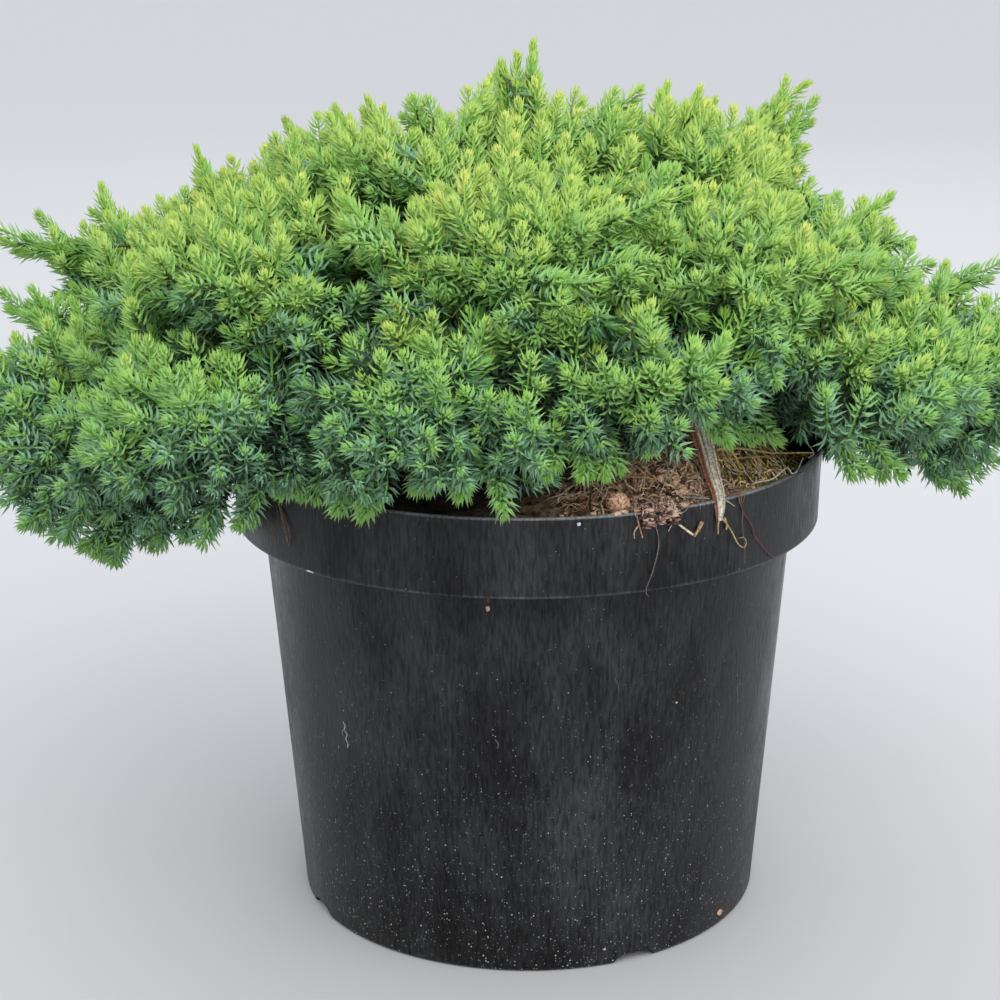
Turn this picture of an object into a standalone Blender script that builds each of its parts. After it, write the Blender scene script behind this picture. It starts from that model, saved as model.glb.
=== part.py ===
"""A dwarf juniper in a ten litre nursery pot, as an assembly of its own pieces.

The frame: +Z up, +Y away from the front, and the origin on the pot's axis, on its flat underside.
The pot holds a plug of compost, the stem stands on the compost, the boughs leave the stem and each
ends where it enters its mass of foliage. All sizes are in metres and all angles in degrees.
"""

import math

import bmesh
import bpy
from mathutils import Matrix, Vector, noise

# --- The pot, a thin moulded shell with a deep band round its mouth ---
POT_HEIGHT = 0.225
RIM_RADIUS = 0.140
BAND_HEIGHT = 0.036
BAND_FOOT_RADIUS = 0.1388
WALL_TOP_RADIUS = 0.1262
FOOT_RADIUS = 0.1115
WALL = 0.0020
BASE_THICKNESS = 0.0026
FOOT_CHAMFER = 0.0025
LIP = 0.0012
POT_SIDES = 32

# --- Drain notches, arches that open the foot of the wall and the edge of the base ---
NOTCH_AZIMUTHS = (-154, -64, 26, 116)
NOTCH_HALF_WIDTH = 0.0105
NOTCH_RISE = 0.0052
NOTCH_DEPTH = 0.014

# --- The compost, with a heap against the wall at the front right ---
SETTLED = 0.0105                 # how far the compost has sunk below the rim
COMPOST_CROWN = 0.0035           # rise of its middle
STEM_SEAT_RADIUS = 0.024         # flat patch that the stem stands on
HEAP_AZIMUTH = -48
HEAP_SPREAD = 34
HEAP_REACH = 0.104
HEAP_WIDTH = 0.036
HEAP_RISE = 0.026
COMPOST_SIDES = POT_SIDES
GAP = 0.0003                     # clearance that pieces lying on each other keep

# --- The stem ---
STEM_HEIGHT = 0.052
STEM_FOOT_RADIUS = 0.0165
STEM_RADIUS = 0.0112
STEM_TOP_RADIUS = 0.0075
STEM_LEAN = (0.004, 0.006)       # how far the top stands off the foot, in X and Y
STEM_SIDES = 12

# --- Boughs: (radius where it leaves its parent, radius where it enters its mass) ---
LOW_BOUGH = (0.0052, 0.0034)
SIDE_LIMB = (0.0038, 0.0026)
TOP_BOUGH = (0.0046, 0.0030)
BOUGH_SIDES = 6
BOUGH_STEPS = 5
LOW_BOUGH_STARTS = (0.012, 0.022, 0.032)    # heights on the stem, taken in turn
LOW_BOUGH_DROP = 0.010               # how far below its mass's centre a low bough aims
TOP_BOUGH_STARTS = {"middle": 0.048, "left": 0.041, "right": 0.037}
FORK_AT = 0.42                       # where along a low bough its side limb leaves
BOUGH_SWAY = 0.006                   # how far a bough wanders to the side

# --- Masses: azimuth, reach from the axis, height, and half sizes outwards, sideways, upwards ---
LUMP = 0.17                      # depth of the lumps, as a share of the mass's radius
LUMP_PITCH = 1.9                 # lumps across a unit sphere
CREASE = 0.0030                  # clear width of the crease between two masses
LOW_MASSES = {
    "left": (189, 0.194, 0.240, (0.074, 0.070, 0.060)),
    "left_front": (217, 0.171, 0.259, (0.064, 0.064, 0.044)),
    "front": (254, 0.136, 0.270, (0.054, 0.072, 0.044)),
    "front_right": (292, 0.136, 0.287, (0.056, 0.066, 0.042)),
    "right_front": (329, 0.160, 0.270, (0.064, 0.070, 0.044)),
    "right": (0, 0.188, 0.252, (0.066, 0.068, 0.048)),
    "right_back": (40, 0.172, 0.258, (0.068, 0.078, 0.052)),
    "back": (86, 0.166, 0.260, (0.064, 0.086, 0.052)),
    "left_back": (135, 0.180, 0.258, (0.070, 0.082, 0.054)),
}
HIGH_MASSES = {
    "left": (171, 0.166, 0.300, (0.068, 0.064, 0.040)),
    "left_front": (212, 0.122, 0.310, (0.072, 0.068, 0.048)),
    "front": (268, 0.084, 0.324, (0.066, 0.070, 0.046)),
    "front_right": (318, 0.112, 0.312, (0.066, 0.068, 0.048)),
    "right": (4, 0.132, 0.298, (0.066, 0.064, 0.044)),
    "right_back": (46, 0.132, 0.322, (0.066, 0.068, 0.046)),
    "back": (98, 0.120, 0.322, (0.068, 0.074, 0.048)),
    "left_back": (146, 0.134, 0.320, (0.066, 0.066, 0.042)),
}
TOP_MASSES = {
    "middle": (88, 0.028, 0.355, (0.064, 0.060, 0.036)),
    "left": (176, 0.068, 0.346, (0.056, 0.066, 0.036)),
    "right": (10, 0.073, 0.347, (0.056, 0.066, 0.036)),
}

# --- Leading shoots, the tips that stand out of a mass: (mass, azimuth, reach, height) ---
LEADER_SPREAD = 0.42             # how far a leader's cone spreads over its mass, in radians
LEADERS = (
    ("top_middle", 87, 0.040, 0.403),
    ("high_left", 175, 0.257, 0.327),
    ("high_left", 166, 0.212, 0.337),
    ("high_left_back", 146, 0.141, 0.366),
    ("high_left_back", 159, 0.170, 0.354),
    ("high_right_back", 41, 0.198, 0.375),
    ("high_right_back", 21, 0.190, 0.327),
    ("low_right", 5, 0.232, 0.304),
    ("low_left", 180, 0.237, 0.299),
    ("low_left", 183, 0.262, 0.238),
    ("low_right", 352, 0.248, 0.236),
    ("low_right_back", 38, 0.238, 0.262),
    ("low_back", 84, 0.226, 0.268),
    ("low_left_back", 133, 0.246, 0.266),
)

BLACK_PLASTIC = ((0.016, 0.016, 0.018), 0.38)
COMPOST_BROWN = ((0.060, 0.036, 0.022), 0.95)
BARK_BROWN = ((0.130, 0.070, 0.042), 0.85)
NEEDLE_GREEN = ((0.100, 0.270, 0.060), 0.60)


def clear_scene():
    for thing in list(bpy.data.objects):
        bpy.data.objects.remove(thing)


def material(name, look):
    colour, roughness = look
    made = bpy.data.materials.new(name)
    made.use_nodes = True
    shader = made.node_tree.nodes["Principled BSDF"]
    shader.inputs["Base Color"].default_value = (*colour, 1)
    shader.inputs["Roughness"].default_value = roughness
    shader.inputs["Metallic"].default_value = 0
    return made


def add(name, bm, look=None):
    """The mesh as an object; with no material it is a cutter, which the build leaves out."""
    bmesh.ops.recalc_face_normals(bm, faces=bm.faces)
    mesh = bpy.data.meshes.new(name)
    bm.to_mesh(mesh)
    bm.free()
    made = bpy.data.objects.new(name, mesh)
    bpy.context.scene.collection.objects.link(made)
    if look is None:
        made.hide_render = True
        made.display_type = "WIRE"
    else:
        mesh.materials.append(look)
    return made


def cut(body, cutter):
    modifier = body.modifiers.new("cut_" + cutter.name, "BOOLEAN")
    modifier.operation = "DIFFERENCE"
    modifier.solver = "EXACT"
    modifier.object = cutter


def around(azimuth, reach, height):
    """The point at this azimuth in degrees, distance from the pot's axis and height."""
    turn = math.radians(azimuth)
    return Vector((reach * math.cos(turn), reach * math.sin(turn), height))


def turned(profile, sides):
    """A bmesh with the (radius, height) profile spun once round the Z axis."""
    bm = bmesh.new()
    points = [bm.verts.new((radius, 0, height)) for radius, height in profile]
    edges = [bm.edges.new(pair) for pair in zip(points, points[1:])]
    bmesh.ops.spin(
        bm, geom=points + edges, cent=(0, 0, 0), axis=(0, 0, 1),
        angle=2 * math.pi, steps=sides, use_merge=True,
    )
    bmesh.ops.remove_doubles(bm, verts=bm.verts, dist=1e-6)
    return bm


# --- Pot ---

def inner_radius(height):
    """Radius of the inside of the pot's wall at this height."""
    ledge = POT_HEIGHT - BAND_HEIGHT + WALL
    if height > ledge:
        share = (height - ledge) / (POT_HEIGHT - ledge)
        return BAND_FOOT_RADIUS - WALL + share * (RIM_RADIUS - LIP - BAND_FOOT_RADIUS)
    share = (height - BASE_THICKNESS) / (ledge - BASE_THICKNESS)
    return FOOT_RADIUS - WALL + share * (WALL_TOP_RADIUS - FOOT_RADIUS)


def pot_profile():
    step = POT_HEIGHT - BAND_HEIGHT
    ledge = step + WALL
    outside = [
        (0, 0),
        (FOOT_RADIUS - FOOT_CHAMFER, 0),
        (FOOT_RADIUS, FOOT_CHAMFER),
        (WALL_TOP_RADIUS, step),
        (BAND_FOOT_RADIUS - LIP, step),
        (BAND_FOOT_RADIUS, step + LIP),
        (RIM_RADIUS - LIP, POT_HEIGHT - 3 * LIP),
        (RIM_RADIUS, POT_HEIGHT - 2 * LIP),
        (RIM_RADIUS, POT_HEIGHT - LIP / 2),
        (RIM_RADIUS - LIP / 2, POT_HEIGHT),
    ]
    inside = [
        (inner_radius(POT_HEIGHT), POT_HEIGHT),
        (BAND_FOOT_RADIUS - WALL, ledge),
        (WALL_TOP_RADIUS - WALL, ledge),
        (FOOT_RADIUS - WALL, BASE_THICKNESS),
        (0, BASE_THICKNESS),
    ]
    return outside + inside


def make_pot(look):
    pot = add("pot", turned(pot_profile(), POT_SIDES), look)
    for number, azimuth in enumerate(NOTCH_AZIMUTHS):
        bm = bmesh.new()
        bmesh.ops.create_cone(
            bm, cap_ends=True, segments=16, radius1=1, radius2=1, depth=1,
            matrix=Matrix.Rotation(math.radians(90), 4, "Y"),
        )
        length = 2 * NOTCH_DEPTH
        bmesh.ops.scale(bm, verts=bm.verts, vec=(length, NOTCH_HALF_WIDTH, NOTCH_RISE))
        bmesh.ops.translate(bm, verts=bm.verts, vec=(FOOT_RADIUS - NOTCH_DEPTH + length / 2, 0, 0))
        bmesh.ops.rotate(
            bm, verts=bm.verts, cent=(0, 0, 0), matrix=Matrix.Rotation(math.radians(azimuth), 3, "Z")
        )
        cut(pot, add(f"notch_{number}", bm))
    return pot


# --- Compost ---

def compost_height(x, y):
    """Height of the compost's surface at a point of the plan."""
    reach = math.hypot(x, y)
    settled = POT_HEIGHT - SETTLED
    seat = settled + COMPOST_CROWN
    if reach <= STEM_SEAT_RADIUS:
        return seat
    share = (reach - STEM_SEAT_RADIUS) / (RIM_RADIUS - STEM_SEAT_RADIUS)
    off = (math.degrees(math.atan2(y, x)) - HEAP_AZIMUTH + 180) % 360 - 180
    heap = HEAP_RISE * math.exp(-((off / HEAP_SPREAD) ** 2) - ((reach - HEAP_REACH) / HEAP_WIDTH) ** 2)
    uneven = 0.0022 * noise.noise(Vector((x, y, 0)) * 60) * min(1, 4 * share)
    return seat - COMPOST_CROWN * share**2 + heap * min(1, 2.5 * share) + uneven


def make_compost(look):
    floor = BASE_THICKNESS + GAP
    ledge = POT_HEIGHT - BAND_HEIGHT + WALL
    settled = POT_HEIGHT - SETTLED
    top_radii = (0.118, 0.101, 0.084, 0.066, 0.046, STEM_SEAT_RADIUS)
    profile = [
        (0, floor),
        (inner_radius(floor) - 2 * GAP, floor),
        (inner_radius(ledge) - 2 * GAP, ledge + GAP),
        (BAND_FOOT_RADIUS - WALL - 2 * GAP, ledge + GAP),
        (inner_radius(settled) - 2 * GAP, settled - 0.006),
        *((radius, settled) for radius in top_radii),
        (0, settled),
    ]
    bm = turned(profile, COMPOST_SIDES)
    edge = inner_radius(settled) - 2 * GAP
    for vert in bm.verts:
        if vert.co.z > settled - 0.0061:
            reach = math.hypot(vert.co.x, vert.co.y)
            lowered = 0.006 if reach > edge - 0.001 else 0
            vert.co.z = compost_height(vert.co.x, vert.co.y) - lowered
    return add("compost", bm, look)


# --- Stem and boughs ---

def tube(path, radii, sides):
    """A bmesh tube through the path's points, one ring for each, with flat ends."""
    bm = bmesh.new()
    rings = []
    facing = Vector((0, 0, 1))
    turn = Matrix.Identity(4)
    for index, (point, radius) in enumerate(zip(path, radii)):
        ahead = path[min(index + 1, len(path) - 1)]
        behind = path[max(index - 1, 0)]
        along = (ahead - behind).normalized()
        turn = facing.rotation_difference(along).to_matrix().to_4x4() @ turn
        facing = along
        ring = bmesh.ops.create_circle(
            bm, cap_ends=False, segments=sides, radius=radius, matrix=Matrix.Translation(point) @ turn
        )["verts"]
        rings.append(ring)
    for lower, upper in zip(rings, rings[1:]):
        edges = [e for ring in (lower, upper) for e in {e for v in ring for e in v.link_edges}
                 if all(v in ring for v in e.verts)]
        bmesh.ops.bridge_loops(bm, edges=edges)
    for end in (rings[0], rings[-1]):
        bmesh.ops.contextual_create(bm, geom=end)
    return bm


def stem_foot():
    return Vector((0, 0, POT_HEIGHT - SETTLED + COMPOST_CROWN + GAP))


def stem_point(height):
    """The stem's centre at this height above its foot."""
    share = height / STEM_HEIGHT
    return stem_foot() + Vector((STEM_LEAN[0] * share**1.5, STEM_LEAN[1] * share**1.5, height))


def stem_radius(height):
    flare = (STEM_FOOT_RADIUS - STEM_RADIUS) * math.exp(-height / 0.006)
    return STEM_RADIUS + (STEM_TOP_RADIUS - STEM_RADIUS) * height / STEM_HEIGHT + flare


def stem_mesh(grow):
    heights = [0, 0.003, 0.007, 0.013, 0.022, 0.034, 0.044, STEM_HEIGHT]
    path = [stem_point(height) for height in heights]
    path[0] = stem_foot()
    path[1] = Vector((path[0].x, path[0].y, path[1].z))
    return tube(path, [stem_radius(height) + grow for height in heights], STEM_SIDES)


def bough_path(start, end, rise, sway):
    """Points from start to end: the limb leaves low, bends up by rise and wanders sideways by sway."""
    along = end - start
    side = Vector((-along.y, along.x, 0)).normalized()
    middle = (start + end) / 2 + Vector((0, 0, rise)) + side * sway
    path = []
    for step in range(BOUGH_STEPS + 1):
        share = step / BOUGH_STEPS
        bend = (1 - share) ** 2 * start + 2 * share * (1 - share) * middle + share**2 * end
        path.append(bend)
    return path


def bough_mesh(path, radii, grow):
    first, last = radii
    steps = len(path) - 1
    sizes = [first + (last - first) * index / steps + grow for index in range(steps + 1)]
    return tube(path, sizes, BOUGH_SIDES)


# --- Foliage masses ---

def mass_list():
    """Every mass by node name: its centre, half sizes and azimuth."""
    tiers = (("low", LOW_MASSES), ("high", HIGH_MASSES), ("top", TOP_MASSES))
    return {
        f"{tier}_{place}": (around(azimuth, reach, height), sizes, azimuth)
        for tier, masses in tiers
        for place, (azimuth, reach, height, sizes) in masses.items()
    }


def mean_size(sizes):
    return sum(sizes) / 3


def mass_radius(direction, sizes, azimuth, seed):
    """Distance from a mass's centre to its lumpy surface along a unit direction."""
    local = Matrix.Rotation(-math.radians(azimuth), 3, "Z") @ direction
    outwards, sideways, upwards = sizes
    plain = 1 / math.sqrt((local.x / outwards) ** 2 + (local.y / sideways) ** 2 + (local.z / upwards) ** 2)
    lump = noise.noise(direction * LUMP_PITCH + Vector((seed * 7.3, seed * 3.1, seed * 5.7)))
    return plain * (1 + LUMP * lump)


def limit_of(direction, centre, sizes, others):
    """How far a mass may reach along a direction before the crease between it and a neighbour."""
    reach = math.inf
    for other_centre, other_sizes, _ in others:
        apart = other_centre - centre
        distance = apart.length
        toward = apart / distance
        slope = direction.dot(toward)
        if slope > 1e-4:
            share = mean_size(sizes) / (mean_size(sizes) + mean_size(other_sizes))
            reach = min(reach, (share * distance - CREASE / 2) / slope)
    return reach


def mass_mesh(name, masses, grow):
    centre, sizes, azimuth = masses[name]
    seed = 1 + list(masses).index(name)
    others = [mass for other, mass in masses.items() if other != name]
    bm = bmesh.new()
    bmesh.ops.create_icosphere(bm, subdivisions=3, radius=1)
    rays = {vert: vert.co.normalized() for vert in bm.verts}
    reaches = {
        vert: min(mass_radius(ray, sizes, azimuth, seed), limit_of(ray, centre, sizes, others))
        for vert, ray in rays.items()
    }
    for owner, tip_azimuth, reach, height in LEADERS:
        if owner == name:
            tip = around(tip_azimuth, reach, height) - centre
            for vert, ray in rays.items():
                cone = tip.length * math.exp(-((ray.angle(tip) / LEADER_SPREAD) ** 2))
                limit = limit_of(ray, centre, sizes, others)
                reaches[vert] = max(reaches[vert], min(cone, limit))
            nearest = max(bm.verts, key=lambda vert: rays[vert].dot(tip.normalized()))
            rays[nearest] = tip.normalized()
            reaches[nearest] = tip.length
    for vert in bm.verts:
        vert.co = centre + rays[vert] * (reaches[vert] + grow)
    return bm


def make_masses(masses, look):
    """The masses, those over the pot cut to sit clear of its rim, and a grown copy of each for cutting boughs."""
    clearance = add(
        "rim_clearance",
        turned(
            [(0, 0), (RIM_RADIUS + 0.0015, 0), (RIM_RADIUS + 0.0015, POT_HEIGHT + 0.0015), (0, POT_HEIGHT + 0.0015)],
            32,
        ),
    )
    grown = {}
    for name, (centre, sizes, _) in masses.items():
        mass = add("mass_" + name, mass_mesh(name, masses, 0), look)
        if centre.z - sizes[2] * (1 + LUMP) < POT_HEIGHT + 0.002:
            cut(mass, clearance)
        grown[name] = add("grown_" + name, mass_mesh(name, masses, GAP), None)
    return grown


def make_boughs(masses, grown, bark):
    stem = add("stem", stem_mesh(0), bark)
    grown_stem = add("grown_stem", stem_mesh(GAP), None)
    for index, place in enumerate(LOW_MASSES):
        start = stem_point(LOW_BOUGH_STARTS[index % len(LOW_BOUGH_STARTS)])
        sway = BOUGH_SWAY * (1 if index % 2 else -1)
        aim = masses["low_" + place][0] - Vector((0, 0, LOW_BOUGH_DROP))
        path = bough_path(start, aim, -0.002, sway)
        bough = add("bough_low_" + place, bough_mesh(path, LOW_BOUGH, 0), bark)
        cut(bough, grown_stem)
        cut(bough, grown["low_" + place])
        if place in HIGH_MASSES:
            grown_bough = add("grown_bough_" + place, bough_mesh(path, LOW_BOUGH, GAP), None)
            fork = path[round(FORK_AT * BOUGH_STEPS)]
            limb_path = bough_path(fork, masses["high_" + place][0], 0.004, -sway)
            limb = add("limb_high_" + place, bough_mesh(limb_path, SIDE_LIMB, 0), bark)
            cut(limb, grown_bough)
            cut(limb, grown["high_" + place])
    leader_path = bough_path(stem_point(TOP_BOUGH_STARTS["middle"]), masses["top_middle"][0], 0.006, 0)
    grown_leader = add("grown_leader", bough_mesh(leader_path, TOP_BOUGH, GAP), None)
    for place, start in TOP_BOUGH_STARTS.items():
        path = bough_path(stem_point(start), masses["top_" + place][0], 0.006, 0)
        bough = add("bough_top_" + place, bough_mesh(path, TOP_BOUGH, 0), bark)
        cut(bough, grown_stem)
        cut(bough, grown["top_" + place])
        if place != "middle":
            cut(bough, grown_leader)
    return stem


def main():
    clear_scene()
    plastic = material("black_plastic", BLACK_PLASTIC)
    earth = material("compost", COMPOST_BROWN)
    bark = material("bark", BARK_BROWN)
    needles = material("needles", NEEDLE_GREEN)
    make_pot(plastic)
    make_compost(earth)
    masses = mass_list()
    grown = make_masses(masses, needles)
    make_boughs(masses, grown, bark)


main()
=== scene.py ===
"""A dwarf juniper in a black nursery pot: the looks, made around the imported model."""

import math

import bmesh
import bpy
import numpy as np
from mathutils import Matrix, Vector, noise
from mathutils.bvhtree import BVHTree


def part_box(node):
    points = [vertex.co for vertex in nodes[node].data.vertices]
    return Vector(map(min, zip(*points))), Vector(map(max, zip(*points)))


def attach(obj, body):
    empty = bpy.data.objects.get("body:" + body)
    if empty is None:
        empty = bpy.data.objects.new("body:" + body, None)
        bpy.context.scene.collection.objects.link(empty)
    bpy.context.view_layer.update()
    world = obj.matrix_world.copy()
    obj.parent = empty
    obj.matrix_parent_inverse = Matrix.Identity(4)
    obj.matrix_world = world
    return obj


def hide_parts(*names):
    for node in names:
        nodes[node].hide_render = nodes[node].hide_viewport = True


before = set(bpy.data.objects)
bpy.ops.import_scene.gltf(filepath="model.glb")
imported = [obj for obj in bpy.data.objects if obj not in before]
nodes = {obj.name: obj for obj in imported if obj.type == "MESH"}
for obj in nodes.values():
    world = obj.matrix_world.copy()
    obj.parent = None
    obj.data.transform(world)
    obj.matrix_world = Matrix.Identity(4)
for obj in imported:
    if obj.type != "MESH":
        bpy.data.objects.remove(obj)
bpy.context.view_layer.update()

# --- View ---
# A short telephoto lens a metre away looks down on the crown from a little above it.
# The floor is pale concrete, which lights the pot and the underside of the crown from below.

LENS, SENSOR = 79.2, 36  # millimetres
CAMERA_PLACE = (0, -1.017, 0.489)
YAW, PITCH, ROLL = -0.73, 16.25, -0.46  # degrees
NEAREST, FURTHEST = 0.05, 200  # what it sees
FLOOR_SIZE = 60
FLOOR_COLOUR = "#b4b3b3"
SKY_COLOUR = "#eef3fa"
SKY_STRENGTH = 1.5
SOFTBOXES = (  # place, size, power in watts, colour
    ("key", (0.5, -2.1, 2.2), 2.0, 34, "#fffaf0"),
    ("fill", (1.9, -0.9, 1.7), 1.6, 9, "#f1f5ff"),
    ("back", (0.3, 1.9, 1.9), 1.8, 12, "#fbfcff"),
)
LIGHTS_AIM = Vector((0, 0, 0.22))


def linear(colour):
    """An sRGB hex colour as linear RGBA."""
    parts = [int(colour[start:start + 2], 16) / 255 for start in (1, 3, 5)]
    curve = [part / 12.92 if part <= 0.04045 else ((part + 0.055) / 1.055) ** 2.4 for part in parts]
    return (*curve, 1)


def add(tree, kind, inputs=None, **settings):
    """A shader node: its inputs, set or linked by their index, and its settings or a ramp's stops."""
    made = tree.nodes.new("ShaderNode" + kind)
    stops = settings.pop("stops", None)
    for key, value in settings.items():
        setattr(made, key, value)
    if stops:
        ramp = made.color_ramp
        while len(ramp.elements) < len(stops):
            ramp.elements.new(1)
        for element, (place, colour) in zip(ramp.elements, stops):
            element.position, element.color = place, linear(colour)
    for key, value in (inputs or {}).items():
        if isinstance(value, bpy.types.NodeSocket):
            tree.links.new(value, made.inputs[key])
        else:
            made.inputs[key].default_value = value
    return made


def material(name, colour, roughness, **sockets):
    """A Principled material. Each further setting is a socket's name, with _ for its spaces."""
    made = bpy.data.materials.new(name)
    made.use_nodes = True
    shader = made.node_tree.nodes["Principled BSDF"]
    shader.inputs["Base Color"].default_value = linear(colour)
    shader.inputs["Roughness"].default_value = roughness
    for key, value in sockets.items():
        shader.inputs[key.replace("_", " ")].default_value = value
    return made


def piece(name, bm, *materials):
    """The bmesh as an object of its own in the scene."""
    mesh = bpy.data.meshes.new(name)
    bm.to_mesh(mesh)
    bm.free()
    for finish in materials:
        mesh.materials.append(finish)
    made = bpy.data.objects.new(name, mesh)
    bpy.context.scene.collection.objects.link(made)
    return made


camera = bpy.data.objects.new("camera", bpy.data.cameras.new("camera"))
camera.data.lens, camera.data.sensor_width = LENS, SENSOR
camera.data.clip_start, camera.data.clip_end = NEAREST, FURTHEST
turned = (
    Matrix.Rotation(math.radians(-YAW), 4, "Z")
    @ Matrix.Rotation(math.radians(90 - PITCH), 4, "X")
    @ Matrix.Rotation(math.radians(ROLL), 4, "Z")
)
camera.matrix_world = Matrix.Translation(CAMERA_PLACE) @ turned
bpy.context.scene.collection.objects.link(camera)
bpy.context.scene.camera = camera
bpy.context.scene.view_settings.view_transform = "Standard"

bm = bmesh.new()
bmesh.ops.create_grid(bm, x_segments=1, y_segments=1, size=FLOOR_SIZE / 2)
piece("floor", bm, material("pale_concrete", FLOOR_COLOUR, 0.85))

world = bpy.data.worlds.new("overcast")
bpy.context.scene.world = world
world.use_nodes = True
sky = world.node_tree.nodes["Background"]
sky.inputs["Color"].default_value = linear(SKY_COLOUR)
sky.inputs["Strength"].default_value = SKY_STRENGTH
for name, place, size, power, colour in SOFTBOXES:
    light = bpy.data.lights.new(name, "AREA")
    light.shape, light.size, light.energy = "DISK", size, power
    light.color = linear(colour)[:3]
    lamp = bpy.data.objects.new(name, light)
    lamp.location = place
    lamp.rotation_euler = (LIGHTS_AIM - Vector(place)).to_track_quat("-Z", "Y").to_euler()
    bpy.context.scene.collection.objects.link(lamp)

# --- Pot ---
# A ten litre nursery pot, injection moulded in black polypropylene: a thin tapering wall, a deep
# band that stiffens its mouth, a rolled lip, and arched drain notches through its foot.

POT_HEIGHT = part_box("pot")[1][2]
RIM_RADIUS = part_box("pot")[1][0]
BAND_HEIGHT = 0.036
BAND_FOOT_RADIUS = RIM_RADIUS - 0.0012
WALL_TOP_RADIUS = 0.1262
FOOT_RADIUS = 0.1115
WALL = 0.0020
BASE_THICKNESS = 0.0026
FOOT_ROUND = 0.0025
EDGE_ROUND = 0.0010
CORNER_ROUND = 0.0016  # the hollow corner where the band meets the wall
POT_STEPS = 240
BASE_RINGS = (0, 0.03, 0.06, 0.085)  # radii of the rings of points under its base
WALL_RINGS = (0.1, 0.25, 0.4, 0.55, 0.7, 0.85)  # shares of the wall's height with a ring of points
BAND_RINGS = ((0.35, 0.0003), (0.65, 0.0006))  # the same of the band, and how far out each is
NOTCH_AZIMUTHS = (-154, -64, 26, 116)
NOTCH_HALF_WIDTH = 0.0105
NOTCH_RISE = 0.0052
NOTCH_DEPTH = 0.028
NOTCH_STEPS = 40


def arc(across, height, radius, start, end, steps=5):
    """Points of an arc round (across, height), between two angles in degrees."""
    turns = [math.radians(start + (end - start) * step / steps) for step in range(steps + 1)]
    return [(across + radius * math.cos(turn), height + radius * math.sin(turn)) for turn in turns]


def spun(profile, steps):
    """A bmesh of the (radius, height) profile, spun once round Z, with its faces outwards."""
    made = bmesh.new()
    points = [made.verts.new((radius, 0, height)) for radius, height in profile]
    edges = [made.edges.new(pair) for pair in zip(points, points[1:])]
    bmesh.ops.spin(
        made, geom=points + edges, cent=(0, 0, 0), axis=(0, 0, 1),
        angle=2 * math.pi, steps=steps, use_merge=True,
    )
    bmesh.ops.remove_doubles(made, verts=made.verts, dist=1e-6)
    bmesh.ops.recalc_face_normals(made, faces=made.faces)
    return made


def smooth(thing, angle=35):
    """Shades the thing smooth, apart from edges sharper than the angle in degrees."""
    thing.data.shade_smooth()
    thing.data.set_sharp_from_angle(angle=math.radians(angle))


def settle(thing):
    """Applies the thing's modifiers to its mesh."""
    bpy.context.view_layer.update()
    evaluated = thing.evaluated_get(bpy.context.evaluated_depsgraph_get())
    finished = bpy.data.meshes.new_from_object(evaluated)
    thing.modifiers.clear()
    thing.data = finished


step = POT_HEIGHT - BAND_HEIGHT
wall_rise = [
    (FOOT_RADIUS + (WALL_TOP_RADIUS - FOOT_RADIUS) * share, FOOT_ROUND + (step - FOOT_ROUND) * share)
    for share in WALL_RINGS
]
outside = [
    *((radius, 0) for radius in BASE_RINGS),
    *arc(FOOT_RADIUS - FOOT_ROUND, FOOT_ROUND, FOOT_ROUND, -90, -4),
    *wall_rise,
    *arc(WALL_TOP_RADIUS + CORNER_ROUND, step - CORNER_ROUND, CORNER_ROUND, 176, 90),
    *arc(BAND_FOOT_RADIUS - EDGE_ROUND, step + EDGE_ROUND, EDGE_ROUND, -90, 0),
    *((BAND_FOOT_RADIUS + out, step + BAND_HEIGHT * share) for share, out in BAND_RINGS),
    *arc(RIM_RADIUS - EDGE_ROUND, POT_HEIGHT - EDGE_ROUND, EDGE_ROUND, -10, 90),
]
inside = [
    *arc(RIM_RADIUS - WALL, POT_HEIGHT - EDGE_ROUND, EDGE_ROUND, 90, 170),
    (BAND_FOOT_RADIUS - WALL, step + WALL),
    (WALL_TOP_RADIUS - WALL, step + WALL),
    (FOOT_RADIUS - WALL, BASE_THICKNESS),
    (0, BASE_THICKNESS),
]
pot_shell = spun(outside + inside, POT_STEPS)

polypropylene = material("moulded_black_polypropylene", "#151517", 0.36, IOR=1.49, Specular_IOR_Level=0.32)
pot = piece("nursery_pot", pot_shell, polypropylene)
cutters = []
for azimuth in NOTCH_AZIMUTHS:
    bm = bmesh.new()
    bmesh.ops.create_cone(
        bm, cap_ends=True, segments=NOTCH_STEPS, radius1=1, radius2=1, depth=1,
        matrix=Matrix.Rotation(math.radians(90), 4, "Y"),
    )
    bmesh.ops.scale(bm, verts=bm.verts, vec=(2 * NOTCH_DEPTH, NOTCH_HALF_WIDTH, NOTCH_RISE))
    bmesh.ops.translate(bm, verts=bm.verts, vec=(FOOT_RADIUS, 0, 0))
    turn = Matrix.Rotation(math.radians(azimuth), 3, "Z")
    bmesh.ops.rotate(bm, verts=bm.verts, cent=(0, 0, 0), matrix=turn)
    cutters.append(piece(f"notch_{azimuth}", bm))
    cut = pot.modifiers.new(f"notch_{azimuth}", "BOOLEAN")
    cut.operation, cut.object = "DIFFERENCE", cutters[-1]
settle(pot)
for cutter in cutters:
    bpy.data.objects.remove(cutter)
smooth(pot)
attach(pot, "root")
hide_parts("pot")

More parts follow.
